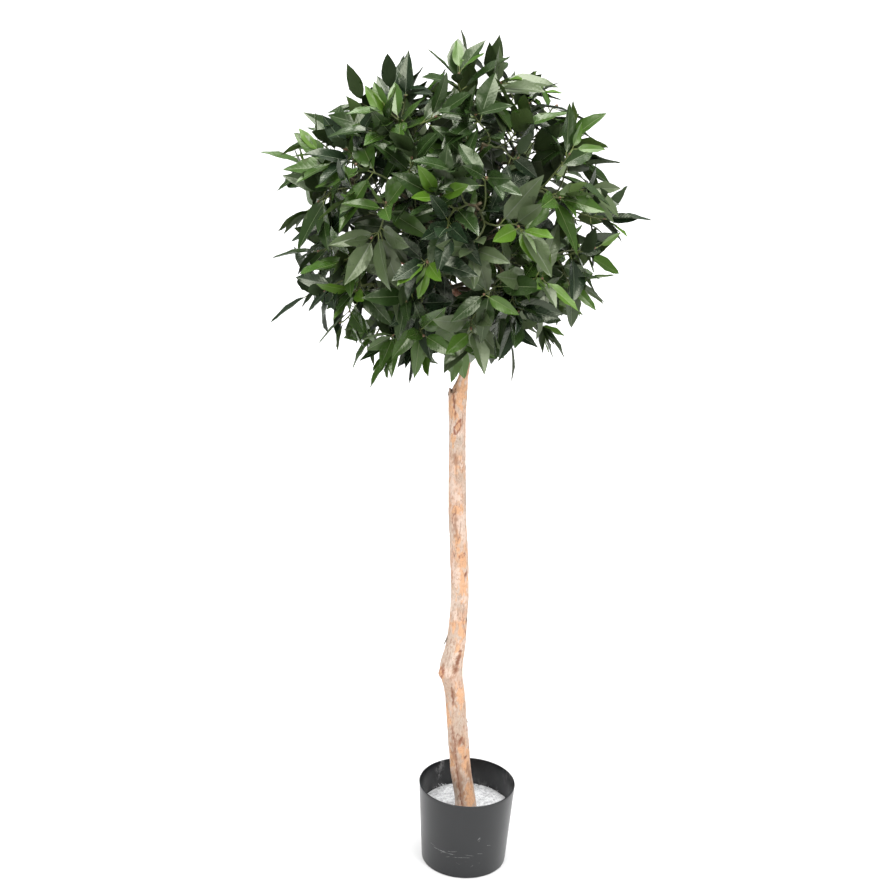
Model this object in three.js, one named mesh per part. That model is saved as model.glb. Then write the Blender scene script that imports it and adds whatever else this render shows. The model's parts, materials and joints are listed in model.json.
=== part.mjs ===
// Artificial bay laurel standard: a bare wooden trunk set in a plaster-filled plastic pot,
// with a round head of leafy boughs. Millimetres, +Z up, the middle of the pot's foot at the origin.
import * as THREE from 'three';
import { mergeVertices } from 'three/addons/utils/BufferGeometryUtils.js';

// Clearance between solids that touch on the real plant.
const GAP = 0.3;
const UP = new THREE.Vector3(0, 0, 1);

// Pot: a thin-walled tapered tub with a rounded rim.
const POT_HEIGHT = 155;
const POT_RIM_RADIUS = 87.5;
const POT_FOOT_RADIUS = 77;
const POT_WALL = 2.4;
const POT_FLOOR = 3;
const POT_EDGE = 1.2;
const POT_SEGMENTS = 48;

// Plaster fill, well below the rim.
const FILL_TOP = 104;

// Trunk: height, sideways place, depth and radius of each section, from the cut foot to the tip.
// It kinks at 376, and at 901 one fork is sawn off, which leaves a shoulder beside the leader.
const TRUNK_SIDES = 16;
const TRUNK_OVAL = 0.035;
const TRUNK_OVAL_TURN = 1 / 90;
const TRUNK_FOOT = POT_FLOOR + GAP;
const TRUNK_SECTIONS = [
  [TRUNK_FOOT, 6, 0, 19.4],
  [FILL_TOP, -1, 0, 18.7],
  [207, -17, 1, 18.2],
  [231, -19, 1, 19.0],
  [292, -25.8, 0, 18.0],
  [340, -31.2, -1, 17.9],
  [362, -36, -1, 18.8],
  [376, -39, -1, 20.6],
  [399, -37.4, 0, 19.5],
  [422, -34, 1, 17.8],
  [447, -31.6, 2, 16.9],
  [517, -29.6, 3, 15.6],
  [593, -33.6, 2, 15.7],
  [705, -42.8, 0, 14.8],
  [796, -46.9, -1, 14.6],
  [901, -50.8, 0, 15.0],
  [905, -46.5, 0, 11.2],
  [926, -43, 0, 8.2],
  [975, -37, 1, 7.6],
  [1045, -32, 1, 7.4],
  [1110, -32, 0, 7.0],
  [1180, -37, -1, 6.4],
  [1260, -49, -1, 5.4],
];
const TRUNK_TIP_OFFSET = 8;
const TRUNK_TIP_RADIUS = 4.2;

// Head: masses of foliage in rings round a hollow middle.
const HEAD = new THREE.Vector3(-72, 0, 1200);
const MASS_GAP = 12;
const MASS_DETAIL = 2;
const MASS_DENT = 26;
const MASS_ROUGHNESS = 8;
const MASS_LOBES = 3;
const MASS_LOBE_SHARPNESS = 3.4;
const MASS_LOBE_LEAN = 0.9;
const PLAN_SEED = 11;
// The inner face of a mass lies this far out: the side that overhangs the pot is made thinner.
const INNER_NEAR = 154;
const INNER_FAR = 214;
// Clear space round the trunk and the second stem, where they enter the head.
const SHAFT = new THREE.Vector3(-48, -3, 0);
const SHAFT_CLEAR = 33;

// Each ring: how high it looks out of the head, the turn of its first mass, the reach of each mass
// and where its boughs leave the trunk.
const RINGS = [
  { name: 'low', elevation: -52, turn: 35, reach: [268, 274, 284, 276, 264], start: 1078, radius: 4.0 },
  {
    name: 'lower', elevation: -17, turn: -9,
    reach: [272, 274, 268, 278, 282, 278, 270, 274], start: 1116, radius: 3.8,
  },
  {
    name: 'upper', elevation: 19, turn: 14,
    reach: [275, 270, 278, 276, 278, 272, 270, 278], start: 1160, radius: 3.6,
  },
  { name: 'high', elevation: 54, turn: 8, reach: [266, 274, 266, 260, 268], start: 1212, radius: 3.4 },
];
const TOP_REACH = 278;
const TOP_SEED = 77;
const RING_STEP = 15;
const DIRECTION_JITTER = 4;

// Shoots that stand out of the ball: azimuth, elevation and reach from the middle of the head.
const TUFTS = [
  [2, 1, 325],
  [6, -29, 296],
  [358, 37, 296],
  [178, 15, 331],
  [182, -16, 306],
  [184, -33, 352],
  [176, -60, 318],
  [4, -50, 308],
  [180, 32, 292],
  [205, -77, 290],
  [95, 84, 297],
  [268, 6, 318],
  [248, 34, 300],
  [285, -40, 316],
  [92, -4, 322],
  [115, 30, 304],
  [70, -38, 310],
  [128, -30, 318],
  [318, 16, 308],
  [225, -10, 320],
];

// Boughs: one tapering limb to each mass.
const BOUGH_SIDES = 6;
const BOUGH_STEPS = 5;
const BOUGH_TIP_RADIUS = 2.4;
const BOUGH_LEAD = 0.35;

// Second stem: a branch with a slanted cut end, which leans on the trunk and carries one mass.
const STEM_MASS = 'lower_6';
const STEM_SIDES = 8;
const STEM_STEPS = 12;
const STEM_RADIUS = 6.2;
const STEM_TIP_RADIUS = 3.2;
const STEM_CUT_SLANT = 13;
const STEM_CUT_SIDE = new THREE.Vector3(-0.9, -0.44, 0);
const STEM_FOOT = new THREE.Vector3(-65, -11, 938);
const STEM_WAIST = new THREE.Vector3(-58, -11, 985);
const STEM_TOUCH_HEIGHT = 1044;
const STEM_TOUCH_PART = 0.36;
const STEM_SEAT_LEAD = 30;
const STEM_TOUCH_SIDE = new THREE.Vector3(-0.86, -0.51, 0).normalize();
const STEM_SPREAD = new THREE.Vector3(-88, -22, 1098);

const PLASTIC = { color: 0x2b2d30, roughness: 0.45, metalness: 0 };
const PLASTER = { color: 0xc9c9c4, roughness: 0.95, metalness: 0 };
const PEELED_WOOD = { color: 0xb98a68, roughness: 0.8, metalness: 0 };
const BROWN_WOOD = { color: 0x7a5c43, roughness: 0.8, metalness: 0 };
const FOLIAGE = { color: 0x2f4a2a, roughness: 0.6, metalness: 0 };

function randomNumbers(seed) {
  let state = seed;
  return () => {
    state = (Math.imul(state, 1664525) + 1013904223) >>> 0;
    return state / 4294967296;
  };
}

function direction(azimuth, elevation) {
  const turn = THREE.MathUtils.degToRad(azimuth);
  const rise = THREE.MathUtils.degToRad(elevation);
  return new THREE.Vector3(
    Math.cos(rise) * Math.cos(turn),
    Math.cos(rise) * Math.sin(turn),
    Math.sin(rise),
  );
}

function namedMesh(name, geometry, finish) {
  geometry.computeVertexNormals();
  const mesh = new THREE.Mesh(geometry, new THREE.MeshStandardMaterial(finish));
  mesh.name = name;
  return mesh;
}

// Joins rings of points into one skin. A capped skin is closed by a fan at each end,
// and a looped one runs from its last ring back to its first.
function skin(rings, looped) {
  const sides = rings[0].length;
  const points = rings.flat();
  const faces = [];
  const spans = looped ? rings.length : rings.length - 1;
  for (let i = 0; i < spans; i += 1) {
    const here = i * sides;
    const next = ((i + 1) % rings.length) * sides;
    for (let j = 0; j < sides; j += 1) {
      const k = (j + 1) % sides;
      faces.push(here + j, here + k, next + k, here + j, next + k, next + j);
    }
  }
  if (!looped) {
    const last = (rings.length - 1) * sides;
    const foot = points.push(middle(rings[0])) - 1;
    const tip = points.push(middle(rings[rings.length - 1])) - 1;
    for (let j = 0; j < sides; j += 1) {
      const k = (j + 1) % sides;
      faces.push(foot, k, j, tip, last + j, last + k);
    }
  }
  const geometry = new THREE.BufferGeometry().setFromPoints(points);
  geometry.setIndex(faces);
  return geometry;
}

function middle(ring) {
  const sum = new THREE.Vector3();
  ring.forEach((point) => sum.add(point));
  return sum.divideScalar(ring.length);
}

function circle(centre, radius, across, aside, sides) {
  const ring = [];
  for (let j = 0; j < sides; j += 1) {
    const angle = (2 * Math.PI * j) / sides;
    const point = centre.clone();
    point.addScaledVector(across, radius * Math.cos(angle));
    point.addScaledVector(aside, radius * Math.sin(angle));
    ring.push(point);
  }
  return ring;
}

function makePot() {
  const inner = POT_RIM_RADIUS - POT_WALL;
  const profile = [
    [0, 0],
    [POT_FOOT_RADIUS - POT_EDGE, 0],
    [POT_FOOT_RADIUS, POT_EDGE],
    [POT_RIM_RADIUS, POT_HEIGHT - POT_EDGE],
    [POT_RIM_RADIUS - POT_WALL / 2, POT_HEIGHT],
    [inner, POT_HEIGHT - POT_EDGE],
    [potInnerRadius(POT_FLOOR), POT_FLOOR],
    [0, POT_FLOOR],
  ];
  const points = profile.map(([radius, height]) => new THREE.Vector2(radius, height));
  const geometry = new THREE.LatheGeometry(points, POT_SEGMENTS);
  geometry.rotateX(Math.PI / 2);
  return namedMesh('pot', geometry, PLASTIC);
}

function potInnerRadius(height) {
  const rise = (height - POT_EDGE) / (POT_HEIGHT - 2 * POT_EDGE);
  return THREE.MathUtils.lerp(POT_FOOT_RADIUS, POT_RIM_RADIUS, rise) - POT_WALL;
}

// One level section of the trunk, slightly out of round, grown outwards by a margin.
function trunkRing(section, margin, sides) {
  const [height, x, y, radius] = section;
  const ring = [];
  for (let j = 0; j < sides; j += 1) {
    const angle = (2 * Math.PI * j) / sides;
    const oval = 1 + TRUNK_OVAL * Math.cos(3 * angle + height * TRUNK_OVAL_TURN);
    const reach = radius * oval + margin;
    ring.push(new THREE.Vector3(x + reach * Math.cos(angle), y + reach * Math.sin(angle), height));
  }
  return ring;
}

function trunkSections() {
  const tipHeight = HEAD.z + INNER_NEAR - GAP;
  return [...TRUNK_SECTIONS, [tipHeight, HEAD.x + TRUNK_TIP_OFFSET, 0, TRUNK_TIP_RADIUS]];
}

// Place and radius of the trunk at a height between two of its sections.
function trunkAt(height) {
  const sections = trunkSections();
  const above = sections.findIndex((section) => section[0] >= height);
  const low = sections[above - 1];
  const high = sections[above];
  const part = (height - low[0]) / (high[0] - low[0]);
  const mix = (k) => THREE.MathUtils.lerp(low[k], high[k], part);
  return { centre: new THREE.Vector3(mix(1), mix(2), height), radius: mix(3) };
}

function makeFill() {
  const foot = TRUNK_SECTIONS[0];
  const top = TRUNK_SECTIONS[1];
  const edge = (height) => {
    const centre = new THREE.Vector3(0, 0, height);
    const radius = potInnerRadius(height) - GAP;
    return circle(centre, radius, new THREE.Vector3(1, 0, 0), new THREE.Vector3(0, 1, 0), POT_SEGMENTS);
  };
  const rings = [
    edge(foot[0]),
    edge(top[0]),
    trunkRing(top, GAP, POT_SEGMENTS),
    trunkRing(foot, GAP, POT_SEGMENTS),
  ];
  return namedMesh('pot_fill', skin(rings, true), PLASTER);
}

function makeTrunk() {
  const rings = trunkSections().map((section) => trunkRing(section, 0, TRUNK_SIDES));
  return namedMesh('trunk', skin(rings, false), PEELED_WOOD);
}

// Rings of a tapering limb along a curve.
function limbRings(curve, steps, sides, footRadius, tipRadius) {
  const rings = [];
  const side = new THREE.Vector3().crossVectors(curve.getTangentAt(0), UP).normalize();
  for (let i = 0; i <= steps; i += 1) {
    const part = i / steps;
    const along = curve.getTangentAt(part);
    const across = side.clone().addScaledVector(along, -side.dot(along)).normalize();
    const aside = new THREE.Vector3().crossVectors(along, across);
    const radius = THREE.MathUtils.lerp(footRadius, tipRadius, part);
    rings.push(circle(curve.getPointAt(part), radius, across, aside, sides));
  }
  return rings;
}

// Cuts the first end of a limb on a slant, longest on the given side.
function slantCut(ring, along, side, slant, radius) {
  const centre = middle(ring);
  ring.forEach((point) => {
    const tilt = point.clone().sub(centre).dot(side) / radius;
    point.addScaledVector(along, -slant * tilt);
  });
}

// Plans every mass: its name, outward direction, inner face and reach.
function planMasses() {
  const random = randomNumbers(PLAN_SEED);
  const masses = [];
  RINGS.forEach((ring) => {
    ring.reach.forEach((reach, k) => {
      const shift = () => (random() - 0.5) * 2 * DIRECTION_JITTER;
      const azimuth = ring.turn + (360 * k) / ring.reach.length + shift();
      const out = direction(azimuth, ring.elevation + shift());
      masses.push({
        name: `${ring.name}_${k + 1}`,
        out,
        inner: innerDistance(out),
        reach,
        start: ring.start + (k % 2) * RING_STEP,
        radius: ring.radius,
        bare: ring.name === 'low',
        seed: Math.floor(random() * 100000) + 1,
      });
    });
  });
  masses.push({ name: 'top', out: UP.clone(), inner: INNER_NEAR, reach: TOP_REACH, seed: TOP_SEED });
  masses.forEach((mass) => {
    mass.distance = (mass.inner + mass.reach) / 2;
    mass.site = HEAD.clone().addScaledVector(mass.out, mass.distance);
  });
  return masses;
}

function innerDistance(out) {
  const overhang = (1 - out.x) / 2;
  return THREE.MathUtils.lerp(INNER_NEAR, INNER_FAR, overhang);
}

// Planes that a mass may not cross: half way to each neighbour, its inner face,
// and for the lowest masses the clear space round the trunk.
function limitsOf(mass, masses) {
  const limits = [];
  masses.forEach((other) => {
    if (other !== mass) {
      const away = other.site.clone().sub(mass.site);
      const distance = away.length() / 2 - MASS_GAP / 2;
      limits.push({ normal: away.normalize(), distance });
    }
  });
  limits.push({ normal: mass.out.clone().negate(), distance: mass.distance - mass.inner });
  if (mass.bare) {
    const away = new THREE.Vector3(mass.out.x, mass.out.y, 0).normalize();
    const distance = mass.site.clone().sub(SHAFT).dot(away) - SHAFT_CLEAR;
    limits.push({ normal: away.negate(), distance });
  }
  return limits;
}

// How far a ray from a mass's site goes before the head's ball of a given radius ends.
function distanceToBall(site, ray, radius) {
  const from = site.clone().sub(HEAD);
  const along = from.dot(ray);
  return -along + Math.sqrt(along * along - from.lengthSq() + radius * radius);
}

// A ball of directions from a mass's site, turned so that its first one looks out of the head.
function ballOfRays(mass) {
  const ball = new THREE.IcosahedronGeometry(1, MASS_DETAIL);
  ball.deleteAttribute('normal');
  ball.deleteAttribute('uv');
  const geometry = mergeVertices(ball);
  const place = geometry.getAttribute('position');
  const first = new THREE.Vector3().fromBufferAttribute(place, 0).normalize();
  const turn = new THREE.Quaternion().setFromUnitVectors(first, mass.out);
  const rays = [];
  for (let i = 0; i < place.count; i += 1) {
    rays.push(new THREE.Vector3().fromBufferAttribute(place, i).applyQuaternion(turn).normalize());
  }
  return { geometry, rays };
}

function lobesOf(mass, random) {
  const lobes = [mass.out];
  for (let k = 0; k < MASS_LOBES; k += 1) {
    const side = new THREE.Vector3(random() - 0.5, random() - 0.5, random() - 0.5).normalize();
    lobes.push(side.addScaledVector(mass.out, MASS_LOBE_LEAN).normalize());
  }
  return lobes;
}

// Turns the nearest ray of a mass to each of its standing shoots, and lengthens it to the shoot's tip.
function raiseTufts(mass, rays, lengths) {
  mass.tufts.forEach((tip) => {
    const aim = tip.clone().sub(mass.site);
    const length = aim.length();
    aim.normalize();
    let best = 0;
    rays.forEach((ray, i) => {
      if (ray.dot(aim) > rays[best].dot(aim)) {
        best = i;
      }
    });
    rays[best] = aim;
    lengths[best] = length;
  });
}

function lengthWithin(limits, ray, length) {
  const reaches = limits.map((limit) => {
    const toward = ray.dot(limit.normal);
    return toward > 0 ? limit.distance / toward : Infinity;
  });
  return Math.min(length, ...reaches);
}

// An uneven lump: a ball pushed out to the head's surface, dented between its lobes,
// and held inside its limits.
function massGeometry(mass, masses) {
  const random = randomNumbers(mass.seed);
  const limits = limitsOf(mass, masses);
  const lobes = lobesOf(mass, random);
  const { geometry, rays } = ballOfRays(mass);
  const lengths = rays.map((ray, i) => {
    const nearest = Math.max(...lobes.map((lobe) => lobe.dot(ray)));
    const dent = MASS_DENT * (1 - Math.exp(MASS_LOBE_SHARPNESS * (nearest - 1)));
    const roughness = i > 0 ? MASS_ROUGHNESS * random() : 0;
    return distanceToBall(mass.site, ray, mass.reach) - dent - roughness;
  });
  raiseTufts(mass, rays, lengths);
  const place = geometry.getAttribute('position');
  rays.forEach((ray, i) => {
    const point = mass.site.clone().addScaledVector(ray, lengthWithin(limits, ray, lengths[i]));
    place.setXYZ(i, point.x, point.y, point.z);
  });
  return geometry;
}

// Gives each standing shoot to the mass that faces it.
function dealTufts(masses) {
  masses.forEach((mass) => {
    mass.tufts = [];
  });
  TUFTS.forEach(([azimuth, elevation, reach]) => {
    const out = direction(azimuth, elevation);
    const owner = masses.reduce((best, mass) => (mass.out.dot(out) > best.out.dot(out) ? mass : best));
    owner.tufts.push(HEAD.clone().addScaledVector(out, reach));
  });
}

function seatOf(mass) {
  return HEAD.clone().addScaledVector(mass.out, mass.inner - GAP);
}

// A bough leaves the trunk level and meets the flat inner face of its mass squarely.
function makeBough(mass) {
  const root = trunkAt(mass.start);
  const seat = seatOf(mass);
  const away = seat.clone().sub(root.centre).setZ(0).normalize();
  const foot = root.centre.clone().addScaledVector(away, root.radius * (1 + TRUNK_OVAL) + GAP);
  const lead = foot.distanceTo(seat) * BOUGH_LEAD;
  const curve = new THREE.CubicBezierCurve3(
    foot,
    foot.clone().addScaledVector(away, lead),
    seat.clone().addScaledVector(mass.out, -lead),
    seat,
  );
  const rings = limbRings(curve, BOUGH_STEPS, BOUGH_SIDES, mass.radius, BOUGH_TIP_RADIUS);
  return namedMesh(`bough_${mass.name}`, skin(rings, false), BROWN_WOOD);
}

function makeSecondStem(mass) {
  const root = trunkAt(STEM_TOUCH_HEIGHT);
  const stemRadius = THREE.MathUtils.lerp(STEM_RADIUS, STEM_TIP_RADIUS, STEM_TOUCH_PART);
  const apart = root.radius + stemRadius + GAP;
  const touch = root.centre.clone().addScaledVector(STEM_TOUCH_SIDE, apart);
  const seat = seatOf(mass);
  const before = seat.clone().addScaledVector(mass.out, -STEM_SEAT_LEAD);
  const curve = new THREE.CatmullRomCurve3([STEM_FOOT, STEM_WAIST, touch, STEM_SPREAD, before, seat]);
  const rings = limbRings(curve, STEM_STEPS, STEM_SIDES, STEM_RADIUS, STEM_TIP_RADIUS);
  slantCut(rings[0], curve.getTangentAt(0), STEM_CUT_SIDE, STEM_CUT_SLANT, STEM_RADIUS);
  return namedMesh('second_stem', skin(rings, false), PEELED_WOOD);
}

const plant = new THREE.Group();
plant.add(makePot());
plant.add(makeFill());
plant.add(makeTrunk());

const masses = planMasses();
dealTufts(masses);
masses.forEach((mass) => {
  plant.add(namedMesh(`foliage_${mass.name}`, massGeometry(mass, masses), FOLIAGE));
  if (mass.name === STEM_MASS) {
    plant.add(makeSecondStem(mass));
  } else if (mass.name !== 'top') {
    plant.add(makeBough(mass));
  }
});

export default plant;
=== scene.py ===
"""Artificial bay standard in a pot: a bare trunk set in plaster, and a round head of glossy leaves.

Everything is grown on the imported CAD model, which gives the places and sizes. Metres, Z up.
"""

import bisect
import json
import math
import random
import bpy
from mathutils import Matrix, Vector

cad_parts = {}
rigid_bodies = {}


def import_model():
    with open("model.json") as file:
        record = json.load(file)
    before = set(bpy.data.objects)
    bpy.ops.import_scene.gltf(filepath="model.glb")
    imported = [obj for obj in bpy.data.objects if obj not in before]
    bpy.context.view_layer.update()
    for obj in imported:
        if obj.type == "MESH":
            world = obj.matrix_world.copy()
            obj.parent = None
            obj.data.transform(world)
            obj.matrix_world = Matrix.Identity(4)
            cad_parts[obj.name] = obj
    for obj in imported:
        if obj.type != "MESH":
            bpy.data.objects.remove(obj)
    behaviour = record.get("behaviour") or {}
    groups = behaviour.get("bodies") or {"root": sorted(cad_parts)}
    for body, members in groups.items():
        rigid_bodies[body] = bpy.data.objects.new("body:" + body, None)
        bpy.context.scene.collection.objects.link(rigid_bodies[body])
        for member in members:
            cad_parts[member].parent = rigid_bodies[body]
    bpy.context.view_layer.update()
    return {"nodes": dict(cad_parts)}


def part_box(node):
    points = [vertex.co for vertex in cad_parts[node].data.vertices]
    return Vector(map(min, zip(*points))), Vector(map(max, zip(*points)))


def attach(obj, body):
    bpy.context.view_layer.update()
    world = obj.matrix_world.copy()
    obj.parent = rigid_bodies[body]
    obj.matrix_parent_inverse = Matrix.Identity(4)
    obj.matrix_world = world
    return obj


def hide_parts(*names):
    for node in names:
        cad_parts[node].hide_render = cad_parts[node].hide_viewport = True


bl_info = {
    "name": "Bay standard",
    "version": (1, 0, 0),
    "blender": (4, 5, 0),
    "location": "View3D > Sidebar > Bay standard",
    "description": "Grows an artificial bay standard on its CAD frame",
    "category": "Add Mesh",
}

import bpy
from bpy.props import FloatProperty, FloatVectorProperty, IntProperty, PointerProperty
from mathutils import Matrix, Vector, noise
from mathutils.bvhtree import BVHTree

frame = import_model()

MM = 0.001
UP = Vector((0, 0, 1))
HEAD = Vector((-0.072, 0, 1.2))
FOLIAGE = sorted(name for name in frame["nodes"] if name.startswith("foliage_"))
BOUGHS = sorted(name for name in frame["nodes"] if name.startswith("bough_"))
POT_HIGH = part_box("pot")[1]
FILL_LOW, FILL_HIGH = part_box("pot_fill")
TRUNK_LOW, TRUNK_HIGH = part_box("trunk")


# ---------------------------------------------------------------- settings


def colour(name, description, default):
    return FloatVectorProperty(
        name=name, description=description, subtype="COLOR", size=4, min=0, max=1,
        default=(*default, 1),
    )


def length(name, description, millimetres):
    return FloatProperty(
        name=name, description=description, default=millimetres * MM, min=0,
        unit="LENGTH", precision=4,
    )


class BayPotSettings(bpy.types.PropertyGroup):
    height: FloatProperty(
        name="Height", description="Height of the pot", default=POT_HIGH.z, unit="LENGTH"
    )
    rim_radius: FloatProperty(
        name="Rim radius", description="Outer radius at the rim", default=POT_HIGH.x, unit="LENGTH"
    )
    foot_radius: length("Foot radius", "Outer radius at the foot", 77)
    wall: length("Wall", "Thickness of the wall", 2.4)
    plastic: colour("Plastic", "Colour of the pot", (0.0082, 0.0090, 0.0102))
    scuff: colour("Scuffs", "Colour of scratches and plaster dust", (0.22, 0.22, 0.22))
    gloss: FloatProperty(name="Roughness", description="Roughness of the plastic", default=0.31)
    plaster: colour("Plaster", "Colour of the fill", (0.46, 0.465, 0.47))
    fleck: colour("Flecks", "Colour of the grit in the fill", (0.045, 0.045, 0.045))
    roughness: length("Fill relief", "How far the fill's surface rises and falls", 1.5)


class BayTrunkSettings(bpy.types.PropertyGroup):
    wood: colour("Peeled wood", "Colour of the bare wood", (0.57, 0.355, 0.25))
    pale_wood: colour("Pale wood", "Colour of the bleached wood", (0.66, 0.52, 0.43))
    orange: colour("Orange wood", "Colour of the resinous streaks", (0.61, 0.335, 0.178))
    bark: colour("Bark", "Colour of the thin bark that is left", (0.42, 0.34, 0.27))
    brown: colour("Brown wood", "Colour of the darker stains and specks", (0.28, 0.145, 0.085))
    # This colour is used in the cracks, and is also painted as shade over the trunk inside the head.
    fissure_and_shade: colour("Fissures", "Colour in the cracks", (0.21, 0.085, 0.045))
    knot: colour("Knots", "Colour of the knots", (0.23, 0.075, 0.038))
    depth: length("Fissure depth", "Depth of the cracks", 1.3)
    lift: length("Bark thickness", "How far the bark stands on the wood", 0.5)


class BayLimbSettings(bpy.types.PropertyGroup):
    bough: colour("Boughs", "Colour of the boughs", (0.046, 0.036, 0.015))
    bough_light: colour("Bough streaks", "Lighter streaks on the boughs", (0.105, 0.078, 0.033))
    twig: colour("Twigs", "Colour of the twigs", (0.066, 0.084, 0.020))
    shoot: colour("Shoots", "Colour of the youngest shoots", (0.13, 0.17, 0.040))
    stalk: colour("Leaf stalks", "Colour of the leaf stalks", (0.12, 0.15, 0.036))
    bud: colour("Buds", "Colour of the buds at the shoot ends", (0.14, 0.08, 0.043))
    twig_radius: length("Twig radius", "Radius of the thinnest twigs", 1.4)


class BayLeafSettings(bpy.types.PropertyGroup):
    seed: IntProperty(name="Seed", description="Start of every random draw", default=21)
    standing: IntProperty(name="Standing shoots", description="Sprays that may stand proud", default=84)
    outer: IntProperty(name="Outer sprays", description="Sprays over the head", default=150)
    inner: IntProperty(name="Inner sprays", description="Sprays inside the head", default=58)
    blade: length("Leaf length", "Length of a full-grown leaf", 78)
    young_share: FloatProperty(
        name="Young share", description="Share of sprays with young leaves", default=0.30,
        min=0, max=1, subtype="FACTOR",
    )
    deep: colour("Deep green", "Upper side of the plain dark leaves", (0.0155, 0.033, 0.0075))
    blue: colour("Blue green", "Upper side of the bluish leaves", (0.0095, 0.020, 0.0085))
    forest: colour("Forest green", "Upper side of the warmer leaves", (0.031, 0.068, 0.010))
    grey: colour("Grey green", "Upper side of the dusty leaves", (0.050, 0.072, 0.030))
    bright: colour("Bright green", "Upper side of the youngest leaves", (0.054, 0.116, 0.009))
    soft: colour("Soft green", "Upper side of the half-grown leaves", (0.037, 0.084, 0.008))


class BayStageSettings(bpy.types.PropertyGroup):
    floor: colour("Floor", "Colour of the floor", (0.50, 0.50, 0.50))
    sky: FloatProperty(name="Sky", description="Light from the surroundings", default=0.11)
    sun: FloatProperty(name="Sun", description="Wide soft light from above", default=8.4, min=0)
    lamps: FloatProperty(name="Lamps", description="Power of the soft boxes", default=50, min=0)


# ---------------------------------------------------------------- common helpers


def add_object(name, data):
    piece = bpy.data.objects.new(name, data)
    bpy.context.scene.collection.objects.link(piece)
    return piece


def hand_in(piece, nodes=()):
    """Gives a finished piece its place in the CAD: the nodes it stands for and its body."""
    if nodes:
        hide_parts(*nodes)
    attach(piece, "root")


def settings(context):
    return context.scene.bay_standard


def blend(low, high, part):
    return low + (high - low) * part


def ease(low, high, value):
    """0 below low, 1 above high and a soft S between them."""
    part = min(1, max(0, (value - low) / (high - low)))
    return part * part * (3 - 2 * part)


def any_side(axis):
    """A unit vector square to axis."""
    other = UP if abs(axis.z) < 0.9 else Vector((1, 0, 0))
    return axis.cross(other).normalized()


def turn_about(vector, axis, angle):
    return Matrix.Rotation(angle, 3, axis) @ vector


def shade(tone, part):
    """A darker or lighter tone of a colour."""
    return [c * part for c in tone[:3]] + [1]


def scatter(rng, size):
    return Vector((rng.uniform(-size, size), rng.uniform(-size, size), rng.uniform(-size, size)))


class Wiring:
    """A node tree with short ways to add nodes and join them."""

    def __init__(self, tree):
        self.tree = tree

    def feed(self, socket, value):
        if isinstance(value, bpy.types.NodeSocket):
            self.tree.links.new(value, socket)
        else:
            socket.default_value = value

    def add(self, kind, values=None, **options):
        node = self.tree.nodes.new(kind)
        for option, value in options.items():
            setattr(node, option, value)
        for socket, value in (values or {}).items():
            self.feed(node.inputs[socket], value)
        return node


class Finish(Wiring):
    """A material, with short names for what its finishes are mixed from."""

    def __init__(self, name, roughness=0.5):
        self.material = bpy.data.materials.new(name)
        self.material.use_nodes = True
        super().__init__(self.material.node_tree)
        self.shader = self.tree.nodes["Principled BSDF"]
        self.shader.inputs["Roughness"].default_value = roughness

    def set(self, socket, value):
        self.feed(self.shader.inputs[socket], value)

    def place(self, stretch=(1, 1, 1)):
        """Object coordinates, stretched."""
        source = self.add("ShaderNodeTexCoord").outputs["Object"]
        return self.add("ShaderNodeMapping", {"Vector": source, "Scale": stretch}).outputs[0]

    def mask(self, name):
        return self.add("ShaderNodeAttribute", attribute_name=name).outputs["Fac"]

    def noise(self, scale, stretch=(1, 1, 1), detail=3, roughness=0.5, distortion=0):
        values = {
            "Vector": self.place(stretch), "Scale": scale, "Detail": detail,
            "Roughness": roughness, "Distortion": distortion,
        }
        return self.add("ShaderNodeTexNoise", values).outputs["Fac"]

    def ramp(self, value, low, high, out_low=0, out_high=1):
        values = {
            "Value": value, "From Min": low, "From Max": high,
            "To Min": out_low, "To Max": out_high,
        }
        return self.add("ShaderNodeMapRange", values).outputs[0]

    def math(self, operation, first, second=0.0):
        return self.add("ShaderNodeMath", {0: first, 1: second}, operation=operation).outputs[0]

    def plus(self, first, second):
        return self.math("ADD", first, second)

    def less(self, first, second):
        return self.math("SUBTRACT", first, second)

    def times(self, first, second):
        return self.math("MULTIPLY", first, second)

    def most(self, first, second):
        return self.math("MAXIMUM", first, second)

    def off(self, value, middle):
        """How far a value is from a middle, either way."""
        return self.math("ABSOLUTE", self.less(value, middle))

    def mix(self, part, first, second):
        values = {0: part, 6: first, 7: second}
        return self.add("ShaderNodeMix", values, data_type="RGBA").outputs[2]

    def bump(self, height, distance, strength=1.0):
        values = {"Height": height, "Distance": distance, "Strength": strength}
        self.set("Normal", self.add("ShaderNodeBump", values).outputs[0])


class Rule(Wiring):
    """A Geometry Nodes tree with named inputs."""

    def __init__(self, name, inputs):
        super().__init__(bpy.data.node_groups.new(name, "GeometryNodeTree"))
        self.tree.interface.new_socket(
            "Geometry", in_out="INPUT", socket_type="NodeSocketGeometry"
        )
        self.keys = {}
        for label, kind in inputs.items():
            socket = self.tree.interface.new_socket(label, in_out="INPUT", socket_type=kind)
            self.keys[label] = socket.identifier
        self.tree.interface.new_socket(
            "Geometry", in_out="OUTPUT", socket_type="NodeSocketGeometry"
        )
        self.given = self.tree.nodes.new("NodeGroupInput").outputs
        self.result = self.tree.nodes.new("NodeGroupOutput").inputs[0]

    def named(self, name, kind):
        return self.add("GeometryNodeInputNamedAttribute", {"Name": name}, data_type=kind).outputs[0]

    def end(self, output):
        self.tree.links.new(output, self.result)

    def run(self, source, name, values):
        """Runs the tree on source and returns a plain mesh object; source is used up."""
        modifier = source.modifiers.new("Rule", "NODES")
        modifier.node_group = self.tree
        for label, value in values.items():
            modifier[self.keys[label]] = value
        context = bpy.context
        context.view_layer.update()
        graph = context.evaluated_depsgraph_get()
        mesh = bpy.data.meshes.new_from_object(
            source.evaluated_get(graph), preserve_all_data_layers=True, depsgraph=graph
        )
        source.modifiers.clear()
        bpy.data.objects.remove(source)
        mesh.name = name
        return add_object(name, mesh)


def drop_layers(mesh, names):
    for name in names:
        layer = mesh.attributes.get(name)
        if layer:
            mesh.attributes.remove(layer)


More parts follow.
